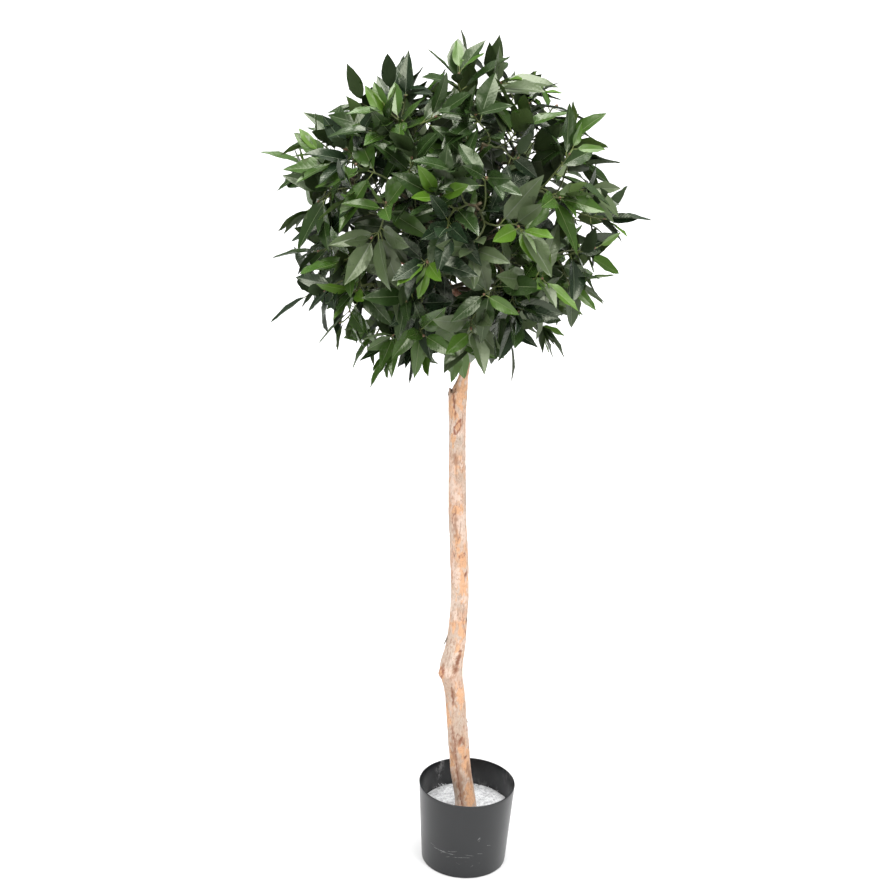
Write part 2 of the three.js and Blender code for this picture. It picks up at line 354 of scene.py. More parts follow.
def store(mesh, name, kind, domain, values):
    """Stores one value for each point or face under a name."""
    layer = mesh.attributes.new(name, kind, domain)
    field = "vector" if kind == "FLOAT_VECTOR" else "value"
    for item, value in zip(layer.data, values):
        setattr(item, field, value)


def rough(x, y, z):
    """Smooth noise from -1 to 1 at a spot."""
    return noise.noise(Vector((x, y, z)))


def turned_from(angle, side):
    """The short way round from a side, given in degrees, to an angle."""
    return (angle - math.radians(side) + math.pi) % (2 * math.pi) - math.pi


def around(sides):
    """The angles of the corners of a ring."""
    return [2 * math.pi * side / sides for side in range(sides)]


def quads(rows, sides, first=0):
    """Faces between rings of corners that follow on from one another."""
    faces = []
    for row in range(rows):
        low = first + row * sides
        high = low + sides
        for side in range(sides):
            after = (side + 1) % sides
            faces.append((low + side, low + after, high + after, high + side))
    return faces


def lump_faces(rows, sides, first=0):
    """Faces of a closed lump: a low corner, rings of corners above it and a high corner."""
    faces = []
    last = first + 1 + (rows - 1) * sides
    for side in range(sides):
        after = (side + 1) % sides
        faces.append((first, first + 1 + after, first + 1 + side))
        for row in range(rows - 2):
            low = first + 1 + row * sides
            high = low + sides
            faces.append((low + side, low + after, high + after, high + side))
        faces.append((last, last - sides + side, last - sides + after))
    return faces


def new_mesh(name, points, faces=()):
    mesh = bpy.data.meshes.new(name)
    mesh.from_pydata(points, [], faces)
    return mesh


# ---------------------------------------------------------------- reading the CAD limbs


def corners_of(node):
    """The different corners of a CAD node's mesh."""
    return sorted({tuple(round(c, 6) for c in v.co) for v in frame["nodes"][node].data.vertices})


def rings_of(node, counts):
    """Centre and radius of each ring of a CAD limb, sorted along its length."""
    corners = [Vector(c) for c in corners_of(node)]
    middle = sum(corners, Vector()) / len(corners)
    first = max(corners, key=lambda c: (c - middle).length)
    last = max(corners, key=lambda c: (c - first).length)
    chord = (last - first).normalized()
    corners.sort(key=lambda c: c.dot(chord))
    rings = []
    for count in counts:
        ring = corners[:count]
        corners = corners[count:]
        centre = sum(ring, Vector()) / count
        reach = sorted((c - centre).length for c in ring)
        rings.append((centre, reach[len(reach) // 2]))
    return rings


def bough_rings(node):
    """A bough's rings, from the trunk outwards."""
    rings = rings_of(node, (7, 6, 6, 6, 6, 7))
    x, y, _ = trunk_at(rings[0][0].z)
    near = (rings[0][0].xy - Vector((x, y))).length
    x, y, _ = trunk_at(rings[-1][0].z)
    far = (rings[-1][0].xy - Vector((x, y))).length
    return rings if near < far else rings[::-1]


def stem_rings():
    """The second stem's rings, from its cut foot to its seat in the foliage."""
    rings = rings_of("second_stem", (9,) + (8,) * 11 + (9,))
    return rings if rings[0][0].z < rings[-1][0].z else rings[::-1]


def steady_curve(places, values):
    """A smooth curve through the values that never swings past them."""
    steps = [places[i + 1] - places[i] for i in range(len(places) - 1)]
    slopes = [(values[i + 1] - values[i]) / steps[i] for i in range(len(steps))]
    leans = [slopes[0]]
    for before, after in zip(slopes, slopes[1:]):
        leans.append(2 * before * after / (before + after) if before * after > 0 else 0)
    leans.append(slopes[-1])

    def value(place):
        i = min(max(bisect.bisect_right(places, place) - 1, 0), len(steps) - 1)
        part = min(1, max(0, (place - places[i]) / steps[i]))
        rise = part * part * (3 - 2 * part)
        swing_out = part * (1 - part) ** 2 * leans[i] * steps[i]
        swing_in = part * part * (1 - part) * leans[i + 1] * steps[i]
        return blend(values[i], values[i + 1], rise) + swing_out - swing_in

    return value


def read_trunk():
    """Curves of the trunk's centre and radius over its height."""
    levels = {}
    for x, y, z in corners_of("trunk"):
        levels.setdefault(round(z, 4), []).append(Vector((x, y)))
    heights, columns = [], ([], [], [])
    for height in sorted(levels):
        ring = levels[height]
        if len(ring) < 3:
            continue
        centre = sum(ring, Vector((0, 0))) / len(ring)
        radius = sum((c - centre).length for c in ring) / len(ring)
        heights.append(height)
        for column, value in zip(columns, (centre.x, centre.y, radius)):
            column.append(value)
    return [steady_curve(heights, column) for column in columns]


TRUNK_CURVES = read_trunk()


def trunk_at(height):
    """The trunk's centre (x, y) and radius at a height."""
    return [curve(height) for curve in TRUNK_CURVES]


# ---------------------------------------------------------------- pot and fill

POT_SIDES = 144
FOOT_EDGE = 1.4 * MM
EDGE_STEPS = 4
LIP_STEPS = 6
WALL_ROWS = 24
POT_FLOOR = 3 * MM


def lathe(profile, sides):
    """Corners and faces of a profile of (radius, height) spun once round."""
    points = []
    for radius, height in profile:
        for angle in around(sides):
            points.append((radius * math.cos(angle), radius * math.sin(angle), height))
    return points, quads(len(profile) - 1, sides)


def pot_profile(pot):
    """Underside, outer wall, rounded rim, inner wall and floor, from the middle out and back."""
    profile = [(1 * MM, 0.4 * MM), (pot.foot_radius * 0.86, 0.4 * MM)]
    profile += [(pot.foot_radius * 0.9, 0), (pot.foot_radius - FOOT_EDGE, 0)]
    for step in range(1, EDGE_STEPS + 1):
        turn = step / EDGE_STEPS * math.pi / 2
        profile.append((
            pot.foot_radius - FOOT_EDGE + FOOT_EDGE * math.sin(turn),
            FOOT_EDGE - FOOT_EDGE * math.cos(turn),
        ))
    slope = (pot.rim_radius - pot.foot_radius) / pot.height
    lip = pot.wall / 2
    for row in range(1, WALL_ROWS):
        height = blend(FOOT_EDGE, pot.height - lip, row / WALL_ROWS)
        profile.append((pot.foot_radius + slope * height, height))
    for step in range(LIP_STEPS + 1):
        turn = math.pi * step / LIP_STEPS
        profile.append((
            pot.rim_radius - lip + lip * math.cos(turn),
            pot.height - lip + lip * math.sin(turn),
        ))
    for row in range(1, WALL_ROWS):
        height = blend(pot.height - lip, POT_FLOOR, row / WALL_ROWS)
        profile.append((pot.foot_radius + slope * height - pot.wall, height))
    profile += [(pot.foot_radius - pot.wall, POT_FLOOR), (1 * MM, POT_FLOOR)]
    return profile


# Scratches on the outside: angle from the front towards the right and half length, in degrees, then
# height, rise over the length, sag and half width, in mm.
SCRATCHES = (
    (-24, 14, 50, -3, 1, 0.7), (-2, 12, 45, 2, -1, 0.6), (-34, 9, 50, -3, 0, 0.6),
    (-14, 7, 55, 4, 1, 0.45), (-44, 5, 55, -2, 0, 0.5), (8, 6, 50, -3, 0, 0.4),
    (-28, 2.5, 49, 9, 0, 0.5), (-20, 3, 42, 3, 0, 0.45), (19, 1.7, 85, 6, 0, 1.6),
    (20, 1.0, 82, 8, 0, 1.4), (34, 3, 66, -2, 0, 0.6), (22, 4, 52, -2, 0, 0.4),
    (12, 2, 26, 5, 0, 0.5), (-6, 3, 31, -4, 0, 0.35), (-150, 16, 62, 10, 4, 0.4),
    (150, 14, 40, -7, 3, 0.4), (95, 12, 74, 8, -3, 0.35), (-95, 14, 36, 9, 3, 0.4),
)


def scratch_mask(finish, angle, height):
    """1 along each of the scratches and 0 elsewhere."""
    whole = None
    for side, half, level, rise, sag, wide in SCRATCHES:
        along = finish.math("DIVIDE", finish.less(angle, math.radians(side)), math.radians(half))
        bent = finish.times(finish.times(along, along), sag * MM)
        line = finish.plus(finish.times(along, rise / 2 * MM), bent)
        off = finish.less(finish.less(height, level * MM), line)
        thin = finish.ramp(finish.math("ABSOLUTE", off), wide * MM, wide * 0.3 * MM)
        ends = finish.ramp(finish.math("ABSOLUTE", along), 1.0, 0.7)
        mark = finish.times(thin, ends)
        whole = mark if whole is None else finish.most(whole, mark)
    return whole


def near_angle(finish, angle, side, half):
    """1 at an angle round the pot, fading to 0 at half either way."""
    off = finish.off(angle, math.radians(side))
    return finish.ramp(off, math.radians(half), math.radians(half * 0.3))


def pot_finish(pot):
    finish = Finish("pot plastic", pot.gloss)
    inside = finish.mask("inside")
    spot = finish.add("ShaderNodeSeparateXYZ", {"Vector": finish.place()}).outputs
    height = spot["Z"]
    angle = finish.math("ARCTAN2", spot["X"], finish.times(spot["Y"], -1))
    outside = finish.less(1.0, inside)
    cloud = finish.noise(9, detail=4)
    fine = finish.noise(60, detail=5, roughness=0.65)

    broken = finish.ramp(finish.noise(170, (1, 1, 2.5), detail=4, roughness=0.75), 0.42, 0.56, 0.1, 1)
    lines = finish.times(scratch_mask(finish, angle, height), broken)
    nicks = finish.ramp(finish.noise(55, (1, 2, 5), detail=5, roughness=0.75, distortion=1.5), 0.66, 0.74)
    low = finish.ramp(height, 0.080, 0.020)
    scratched = finish.most(lines, finish.times(nicks, low))
    scratched = finish.times(scratched, outside)

    smear = finish.ramp(finish.noise(60, (1, 1, 0.5), detail=6, roughness=0.75), 0.48, 0.66)
    left = finish.times(near_angle(finish, angle, -141, 9), finish.ramp(height, 0.116, 0.127))
    right = finish.times(near_angle(finish, angle, 100, 34), finish.ramp(height, 0.108, 0.126, 0, 0.6))
    dusty = finish.ramp(height, 0.118, 0.104, 0.05, 0.35)
    scuffed = finish.most(finish.most(left, right), dusty)
    smear = finish.times(finish.times(smear, inside), scuffed)

    marks = finish.most(finish.times(scratched, 0.95), smear)
    dark = shade(pot.plastic, 0.85)
    light = shade(pot.plastic, 1.20)
    base = finish.mix(finish.ramp(cloud, 0.3, 0.7), dark, light)
    # Painted shade: the inside wall gets a darker tone of the same plastic, standing in for the shade
    # inside the pot.
    inner = shade(pot.plastic, 0.62)
    base = finish.mix(inside, base, inner)
    finish.set("Base Color", finish.mix(marks, base, list(pot.scuff)))
    sheen = finish.ramp(fine, 0.3, 0.7, pot.gloss - 0.02, pot.gloss + 0.03)
    finish.set("Roughness", finish.plus(sheen, finish.times(marks, 0.25)))
    finish.bump(finish.less(finish.times(fine, 0.25), scratched), 0.00012, 0.6)
    return finish.material


class OBJECT_OT_bay_pot(bpy.types.Operator):
    """Turns the tapered plastic pot."""

    bl_idname = "object.bay_pot"
    bl_label = "Pot"

    def execute(self, context):
        pot = settings(context).pot
        profile = pot_profile(pot)
        points, faces = lathe(profile, POT_SIDES)
        low_ring = tuple(range(POT_SIDES))
        high_ring = tuple(range((len(profile) - 1) * POT_SIDES, len(points)))
        faces += [low_ring[::-1], high_ring]
        mesh = new_mesh("pot_shell", points, faces)
        rim = max(range(len(profile)), key=lambda row: profile[row][1])
        inside = [float(row > rim) for row in range(len(profile)) for _ in range(POT_SIDES)]
        store(mesh, "inside", "FLOAT", "POINT", inside)
        mesh.shade_smooth()
        mesh.materials.append(pot_finish(pot))
        hand_in(add_object("pot_shell", mesh), ["pot"])
        return {"FINISHED"}


FILL_ROWS, FILL_SIDES = 46, 150

# Crumbs heaped against the wall: degrees round the pot, height over the fill and size in mm.
HEAPED_CRUMBS = (
    (129, 2.8, 1.9), (131, 6.0, 1.2), (124, 1.8, 2.0), (126, 4.6, 1.0), (135, 2.2, 1.7),
    (120, 1.5, 1.4), (139, 3.6, 1.0), (60, 1.8, 1.4), (44, 2.2, 1.1), (201, 1.6, 1.2),
)
LOOSE_CRUMBS = 70
CRUMB_ROWS, CRUMB_SIDES = 4, 7


def plaster_finish(pot):
    finish = Finish("rough plaster", 0.9)
    grain = finish.noise(620, detail=3, roughness=0.7)
    lumps = finish.noise(150, detail=5, roughness=0.7)
    specks = finish.ramp(finish.noise(520, detail=3, roughness=0.7), 0.55, 0.64)
    flakes = finish.ramp(finish.noise(190, detail=3, distortion=0.4), 0.66, 0.71)
    grey = shade(pot.plaster, 0.50)
    base = finish.mix(finish.ramp(lumps, 0.36, 0.58), grey, list(pot.plaster))
    base = finish.mix(finish.ramp(grain, 0.52, 0.66, 0, 0.6), base, grey)
    base = finish.mix(finish.times(specks, 0.6), base, list(pot.fleck))
    base = finish.mix(finish.times(flakes, 0.85), base, list(pot.fleck))
    finish.set("Base Color", base)
    finish.set("Roughness", finish.ramp(grain, 0.3, 0.7, 0.82, 0.98))
    finish.bump(finish.plus(grain, lumps), 0.0012, 0.8)
    return finish.material


def crumb(points, faces, place, size, rng):
    """Adds one small uneven lump of plaster."""
    first = len(points)
    squash = Vector((rng.uniform(0.7, 1.2), rng.uniform(0.7, 1.2), rng.uniform(0.4, 0.8)))
    points.append(place - UP * size * squash.z)
    for row in range(1, CRUMB_ROWS):
        turn = math.pi * row / CRUMB_ROWS
        for angle in around(CRUMB_SIDES):
            way = Vector((
                math.sin(turn) * math.cos(angle), math.sin(turn) * math.sin(angle), -math.cos(turn)
            ))
            points.append(place + way * squash * size * rng.uniform(0.75, 1.2))
    points.append(place + UP * size * squash.z)
    faces.extend(lump_faces(CRUMB_ROWS, CRUMB_SIDES, first))


def fill_skin(pot, top, edge):
    """Corners and faces of the fill: a rough top round the trunk, and a smaller flat foot."""
    x, y, radius = trunk_at(top)
    points = []
    for row in range(FILL_ROWS + 1):
        for angle in around(FILL_SIDES):
            way = Vector((math.cos(angle), math.sin(angle)))
            near = Vector((x, y)) + way * (radius - 2.5 * MM)
            spot = near.lerp(way * edge, row / FILL_ROWS)
            rise = rough(spot.x * 55, spot.y * 55, 3) * 0.9 + rough(spot.x * 260, spot.y * 260, 7) * 0.55
            rise += rough(spot.x * 620, spot.y * 620, 1) * 0.25
            points.append(Vector((spot.x, spot.y, top - 0.3 * MM + rise * pot.roughness)))
    bottom = FILL_LOW.z + 1 * MM
    for angle in around(FILL_SIDES):
        points.append(Vector((math.cos(angle), math.sin(angle), 0)) * (edge - 5 * MM) + UP * bottom)
    faces = [(a, d, c, b) for a, b, c, d in quads(FILL_ROWS + 1, FILL_SIDES)]
    faces.append(tuple(range(FILL_SIDES)))
    faces.append(tuple(range(len(points) - FILL_SIDES, len(points)))[::-1])
    return points, faces


class OBJECT_OT_bay_fill(bpy.types.Operator):
    """Casts the rough plaster that holds the trunk in the pot."""

    bl_idname = "object.bay_fill"
    bl_label = "Plaster fill"

    def execute(self, context):
        pot = settings(context).pot
        rng = random.Random(settings(context).leaves.seed + 5)
        top, edge = FILL_HIGH.z, FILL_HIGH.x - 0.1 * MM
        points, faces = fill_skin(pot, top, edge)
        wall = FILL_HIGH.x - 0.8 * MM
        for turn, rise, size in HEAPED_CRUMBS:
            angle = math.radians(turn)
            place = Vector((math.cos(angle) * wall, math.sin(angle) * wall, top + rise * MM))
            crumb(points, faces, place, size * MM, rng)
        for _ in range(LOOSE_CRUMBS):
            angle = rng.uniform(0, 2 * math.pi)
            out = rng.uniform(0.36, 0.97) * edge
            place = Vector((math.cos(angle) * out, math.sin(angle) * out, top + 0.2 * MM))
            crumb(points, faces, place, rng.uniform(0.5, 1.3) * MM, rng)
        mesh = new_mesh("plaster_fill", points, faces)
        mesh.shade_smooth()
        mesh.materials.append(plaster_finish(pot))
        hand_in(add_object("plaster_fill", mesh), ["pot_fill"])
        return {"FINISHED"}


# ---------------------------------------------------------------- trunk

TRUNK_SIDES = 72
SHOULDER = 0.9025
RING_STEP = 2.2 * MM

# Angles are degrees round the trunk, from the front towards the right.
# Knots: height, angle, half height and half width in mm, lift in mm, and whether the middle is dark.
KNOTS = (
    (0.842, 5, 12, 5.5, 0.8, False),
    (0.377, -62, 12, 7.0, 1.6, False),
    (0.375, -82, 5, 4.5, 1.2, True),
    (0.571, 42, 6, 2.6, -0.6, True),
    (0.607, 17, 4, 5.0, 0.3, False),
    (0.248, 18, 6, 3.6, -0.9, True),
    (0.267, 80, 4, 3.0, 1.0, True),
    (0.212, 43, 3, 3.0, 0.3, True),
    (0.700, 170, 9, 6.0, 0.8, False),
    (0.520, -130, 8, 5.0, 0.7, False),
    (0.300, 150, 10, 6.0, 1.0, False),
)

# Stains: height, angle, half height and half width in mm, and which colour.
STAINS = (
    (0.903, 14, 30, 12, "orange"), (0.880, -44, 16, 6, "orange"), (0.866, -26, 12, 7, "orange"),
    (0.888, -14, 6, 2, "brown"), (0.846, 6, 10, 5, "orange"), (0.818, 18, 8, 5, "grey"),
    (0.818, -32, 10, 6, "orange"), (0.787, -20, 9, 5, "brown"), (0.779, -6, 6, 4, "brown"),
    (0.775, 32, 9, 6, "pale"), (0.752, 24, 12, 8, "grey"), (0.735, -34, 14, 6, "pale"),
    (0.715, 10, 9, 8, "pale"), (0.693, 2, 9, 11, "orange"), (0.664, -14, 18, 4, "brown"),
    (0.660, 28, 16, 7, "pale"), (0.640, -2, 16, 5, "orange"), (0.600, 16, 22, 9, "orange"),
    (0.572, -34, 22, 7, "pale"), (0.548, 20, 24, 10, "orange"), (0.505, 4, 12, 6, "grey"),
    (0.492, -28, 12, 5, "pale"), (0.474, -34, 12, 7, "orange"), (0.462, 24, 18, 8, "orange"),
    (0.454, -26, 9, 10, "grey"), (0.425, -34, 26, 10, "grey"), (0.428, 22, 10, 7, "orange"),
    (0.382, -10, 6, 7, "pale"), (0.376, -58, 10, 8, "orange"), (0.348, -16, 24, 8, "grey"),
    (0.335, 34, 20, 8, "orange"), (0.285, 6, 24, 9, "grey"), (0.300, -58, 28, 7, "orange"),
    (0.243, 16, 6, 10, "brown"), (0.228, 22, 12, 8, "orange"), (0.205, -44, 26, 6, "orange"),
    (0.165, 0, 34, 7, "grey"), (0.160, -10, 46, 6, "brown"), (0.130, 42, 36, 12, "orange"),
    (0.228, -26, 24, 5, "brown"), (0.200, 46, 34, 9, "orange"), (0.402, 27, 16, 4, "brown"),
    (0.390, 20, 9, 5, "brown"), (0.394, -52, 6, 3, "brown"), (0.340, -6, 22, 4, "brown"),
    (0.180, 60, 20, 6, "brown"), (0.820, 120, 26, 9, "orange"), (0.700, 150, 24, 9, "grey"),
    (0.600, -140, 28, 9, "orange"), (0.500, 110, 20, 8, "grey"), (0.380, -150, 22, 9, "brown"),
    (0.280, 170, 30, 10, "orange"), (0.200, 120, 20, 8, "grey"), (0.860, -160, 22, 8, "grey"),
)

# Fissures: width in mm, depth as a share, then the (height, angle) points they run down through.
FISSURES = (
    (5.0, 0.8, ((0.908, -40), (0.900, -32), (0.888, -24))),
    (3.6, 1.0, ((0.903, -27), (0.885, -20), (0.870, -12), (0.856, -8))),
    (11.0, 0.85, ((0.424, 33), (0.405, 29), (0.389, 24))),
    (4.0, 0.7, ((0.396, 34), (0.389, 27), (0.383, 20))),
    (2.2, 0.5, ((0.440, -48), (0.410, -40), (0.385, -44))),
    (1.8, 0.5, ((0.430, -28), (0.412, -22), (0.392, -26))),
    (5.0, 1.0, ((0.354, -6), (0.338, -9), (0.318, -14))),
    (5.0, 0.8, ((0.275, -27), (0.258, -22), (0.243, -18))),
    (3.0, 1.0, ((0.245, -17), (0.210, -15), (0.170, -16), (0.108, -17))),
    (1.8, 1.0, ((0.205, -14), (0.160, -17), (0.118, -16))),
    (1.8, 0.6, ((0.262, 20), (0.246, 26), (0.258, 50), (0.268, 72))),
    (2.8, 0.8, ((0.264, -32), (0.252, -20), (0.243, -6), (0.240, 8))),
    (2.2, 0.5, ((0.770, -50), (0.742, -58), (0.735, -52))),
    (1.8, 0.6, ((0.800, -6), (0.765, -8), (0.735, -2))),
    (2.0, 0.6, ((0.700, -30), (0.668, -34), (0.640, -28))),
    (2.4, 0.6, ((0.650, 170), (0.560, 160), (0.470, 172))),
    (2.6, 0.7, ((0.330, 120), (0.240, 130), (0.130, 122))),
    (2.4, 0.6, ((0.880, -150), (0.800, -160), (0.720, -150))),
)

# Loose flakes of bark: height, angle, then length, width and how far the end stands off, in mm.
FLAKES = (
    (0.450, -74, 18, 8, 4.6), (0.487, 60, 9, 5, 2.0), (0.905, -75, 12, 5, 2.2),
    (0.283, 88, 8, 5, 2.2), (0.770, 96, 10, 4, 1.8), (0.640, -120, 14, 5, 2.5),
)
FLAKE_ROWS = 5


def knot_at(height, angle, radius):
    """Lift, ring mask and dark mask of the knots at a spot on the trunk."""
    lift = ring = dark = 0
    for level, side, tall, wide, rise, is_dark in KNOTS:
        up = (height - level) / (tall * MM)
        if abs(up) > 1.6:
            continue
        across = turned_from(angle, side) * radius / (wide * MM) - up * 0.7
        far = (abs(up) ** 1.4 + abs(across) ** 1.4) ** (1 / 1.4)
        frayed = far + rough(height * 260, angle * 5, level * 90) * 0.35
        lift += rise * MM * (1 - ease(0.5, 1.35, far))
        ring = max(ring, 1 - ease(0.06, 0.34, abs(frayed - 1)), 0.20 * (1 - ease(0.8, 1, far)))
        if is_dark:
            dark = max(dark, 1 - ease(0.5, 1.0, far))
    return lift, ring, dark


def stains_at(height, angle, radius, ragged):
    """How strong each stain colour is at a spot on the trunk."""
    found = dict.fromkeys(("grey", "orange", "pale", "brown"), 0)
    for level, side, tall, wide, kind in STAINS:
        up = (height - level) / (tall * MM)
        if abs(up) < 1.8:
            far = math.hypot(up, turned_from(angle, side) * radius / (wide * MM))
            found[kind] = max(found[kind], 1 - ease(0.65, 1.25, far + ragged * 1.3))
    return found


def fissure_at(height, angle, radius):
    """How deep in a fissure a spot on the trunk lies, from 0 to 1."""
    deepest = 0
    for width, depth, path in FISSURES:
        if not path[-1][0] - 0.006 < height < path[0][0] + 0.006:
            continue
        wander = rough(height * 120, width, 5) * 1.6 * MM
        for (top, top_side), (low, low_side) in zip(path, path[1:]):
            if top == low:
                continue
            part = min(1, max(0, (top - height) / (top - low)))
            across = turned_from(angle, blend(top_side, low_side, part)) * radius + wander
            along = height - blend(top, low, part)
            far = math.hypot(across, along)
            fray = 1 + rough(height * 400, angle * 3, width) * 0.9
            worn = blend(0.35, 1, ease(-0.30, 0.10, rough(height * 130, width * 3, 1)))
            deepest = max(deepest, depth * worn * (1 - ease(0.15, 1, far / (width * 0.5 * MM * fray))))
    return deepest


def trunk_skin(trunk):
    """Corners, faces and masks of the trunk with its bark, fissures and knots."""
    foot, tip = TRUNK_LOW.z, TRUNK_HIGH.z
    rows = int((tip - foot) / RING_STEP)
    points, masks = [], {name: [] for name in ("bark", "crack", "knot", "orange", "pale", "brown")}
    for row in range(rows + 1):
        height = blend(foot, tip, row / rows)
        x, y, radius = trunk_at(height)
        above = float(height > SHOULDER)
        sliver = (1 - above) * ease(0.890, SHOULDER, height)
        cleft = above * (1 - ease(0.002, 0.008, height - SHOULDER))
        thin = ease(0.004, 0.012, radius)
        for angle in around(TRUNK_SIDES):
            way = Vector((math.sin(angle), -math.cos(angle), 0))
            spot = way * radius
            lobes = 0.035 * math.cos(3 * angle + height * 9)
            swell = rough(spot.x * 40, spot.y * 40, height * 14)
            grain = rough(spot.x * 260, spot.y * 260, height * 40)
            seams = rough(spot.x * 75 + 5, spot.y * 75, height * 11)
            where = rough(spot.x * 30, spot.y * 30 + 4, height * 16)
            seam = (1 - ease(0.0, 0.055, abs(seams))) * ease(-0.02, 0.16, where)
            patch = rough(spot.x * 48 + 2, spot.y * 48, height * 26 + 8)
            ragged = rough(spot.x * 220, spot.y * 220 + 3, height * 120)
            stains = stains_at(height, angle, radius, ragged)
            bark = max(ease(0.06, 0.20, patch + ragged * 0.55) * 0.7, stains["grey"])
            lift, ring, dark = knot_at(height, angle, radius)
            crack = max(seam * 0.7, fissure_at(height, angle, radius), dark)
            bark *= 1 - ring
            relief = swell * 1.1 * MM + grain * 0.35 * MM + bark * trunk.lift
            relief += lift - crack * trunk.depth
            left = -math.sin(angle)
            jag = (ease(0.84, 0.99, left) * sliver * 5 - ease(0.3, 0.8, left) * cleft * 5) * MM
            flare = above * ease(-0.7, 0.3, left) * (1 - ease(0, 0.030, height - SHOULDER)) * 4 * MM
            out = radius * (1 + lobes) + relief * thin + flare
            points.append((x + way.x * out, y + way.y * out, height + jag))
            found = {**stains, "bark": bark, "crack": crack, "knot": ring}
            for name, values in masks.items():
                values.append(found[name])
    faces = quads(rows, TRUNK_SIDES)
    faces.append(tuple(range(TRUNK_SIDES))[::-1])
    faces.append(tuple(range(rows * TRUNK_SIDES, (rows + 1) * TRUNK_SIDES)))
    return points, faces, masks


def trunk_finish(trunk):
    finish = Finish("peeled trunk", 0.75)
    height = finish.add("ShaderNodeSeparateXYZ", {"Vector": finish.place()}).outputs["Z"]
    streaks = finish.noise(130, (1, 1, 0.10), detail=5, roughness=0.65)
    clouds = finish.noise(26, (1, 1, 0.55), detail=5, roughness=0.7)
    patches = finish.noise(48, (1, 1, 0.40), detail=5, roughness=0.65, distortion=0.7)
    blotch = finish.noise(85, (1, 1, 0.50), detail=5, roughness=0.7, distortion=0.8)
    folds = finish.noise(75, (1, 1, 0.45), detail=3, roughness=0.6, distortion=1.6)
    specks = finish.noise(420, (1, 1, 0.40), detail=3, roughness=0.6)
    groups = finish.noise(48, (1, 1, 0.6), detail=3)
    wood, pale, orange = list(trunk.wood), list(trunk.pale_wood), list(trunk.orange)
    grey, brown, dark = list(trunk.bark), list(trunk.brown), list(trunk.fissure_and_shade)

    base = finish.mix(finish.ramp(clouds, 0.42, 0.58), wood, pale)
    base = finish.mix(finish.ramp(patches, 0.54, 0.62, 0, 0.7), base, orange)
    base = finish.mix(finish.ramp(blotch, 0.55, 0.63, 0, 0.55), base, grey)
    weathered = finish.ramp(height, 0.58, 0.28, 0, 0.32)
    base = finish.mix(weathered, base, shade(trunk.bark, 0.62))
    stains = (("bark", 0.65, grey), ("orange", 0.9, orange), ("pale", 0.85, pale), ("brown", 0.75, brown))
    for mask, share, tone in stains:
        base = finish.mix(finish.times(finish.mask(mask), share), base, tone)
    base = finish.mix(finish.ramp(streaks, 0.56, 0.70, 0, 0.26), base, brown)
    off_fold = finish.off(folds, 0.5)
    bunched = finish.ramp(groups, 0.48, 0.60, 0, 0.65)
    wrinkled = finish.times(finish.ramp(off_fold, 0.020, 0.004), bunched)
    base = finish.mix(wrinkled, base, brown)
    grit = finish.times(finish.ramp(specks, 0.51, 0.60), finish.ramp(groups, 0.60, 0.38, 0.18, 0.65))
    base = finish.mix(grit, base, brown)
    base = finish.mix(finish.times(finish.mask("knot"), 0.95), base, list(trunk.knot))
    base = finish.mix(finish.ramp(finish.mask("crack"), 0.06, 0.72, 0, 0.94), base, dark)
    # Painted shade: above 0.93 m, inside the head, the trunk is darkened towards the crack colour, as if
    # shaded by the leaves.
    base = finish.mix(finish.ramp(height, 0.93, 1.0, 0, 0.75), base, dark)
    finish.set("Base Color", base)
    finish.set("Roughness", finish.ramp(streaks, 0.3, 0.7, 0.62, 0.85))
    relief = finish.less(finish.times(streaks, 2), wrinkled)
    finish.bump(finish.plus(specks, relief), 0.0006, 0.8)
    return finish.material


def flake(points, faces, height, side, tall, wide, curl):
    """Adds a thin curled flake of bark that stands off the trunk at its lower end."""
    first = len(points)
    for row in range(FLAKE_ROWS + 1):
        part = row / FLAKE_ROWS
        level = height - tall * part
        x, y, radius = trunk_at(level)
        half = wide / 2 * (1 - part ** 2 * 0.75)
        out = radius + 0.2 * MM + curl * part ** 1.5
        for across, inset in ((-1, 0), (1, 0), (0.8, 0.7 * MM), (-0.8, 0.7 * MM)):
            angle = math.radians(side) + across * half / radius
            reach = out - inset
            points.append(Vector((x + math.sin(angle) * reach, y - math.cos(angle) * reach, level)))
    faces += [corners[::-1] for corners in quads(FLAKE_ROWS, 4, first)]
    faces.append(tuple(first + corner for corner in range(4)))
    faces.append(tuple(first + FLAKE_ROWS * 4 + corner for corner in range(4))[::-1])


class OBJECT_OT_bay_trunk(bpy.types.Operator):
    """Skins the trunk with peeled wood, thin bark, fissures and knots."""

    bl_idname = "object.bay_trunk"
    bl_label = "Trunk"

    def execute(self, context):
        trunk = settings(context).trunk
        points, faces, masks = trunk_skin(trunk)
        mesh = new_mesh("trunk_bark", points, faces)
        for name, values in masks.items():
            store(mesh, name, "FLOAT", "POINT", values)
        mesh.shade_smooth()
        mesh.materials.append(trunk_finish(trunk))
        hand_in(add_object("trunk_bark", mesh), ["trunk"])

        points, faces = [], []
        for height, side, *sizes in FLAKES:
            flake(points, faces, height, side, *(size * MM for size in sizes))
        mesh = new_mesh("bark_flakes", points, faces)
        finish = Finish("loose bark", 0.8)
        grey = finish.noise(220, (1, 1, 0.3), detail=4)
        dark, light = (shade(trunk.bark, part) for part in (0.25, 0.65))
        finish.set("Base Color", finish.mix(finish.ramp(grey, 0.35, 0.65), dark, light))
        finish.bump(grey, 0.0006, 0.8)
        mesh.materials.append(finish.material)
        hand_in(add_object("bark_flakes", mesh))
        return {"FINISHED"}


# ---------------------------------------------------------------- growth

GOLDEN_TURN = math.pi * (3 - math.sqrt(5))
DARK_FORMS = 7
YOUNG_FORMS = 4
DARK_TINTS = ("deep", "blue", "forest", "grey")
DARK_SHARES = (0.36, 0.18, 0.28, 0.18)
YOUNG_TINTS = ("bright", "soft")
YOUNG_SHARES = (0.6, 0.4)
STALK = 11 * MM
YOUNG_LENGTH = 0.78

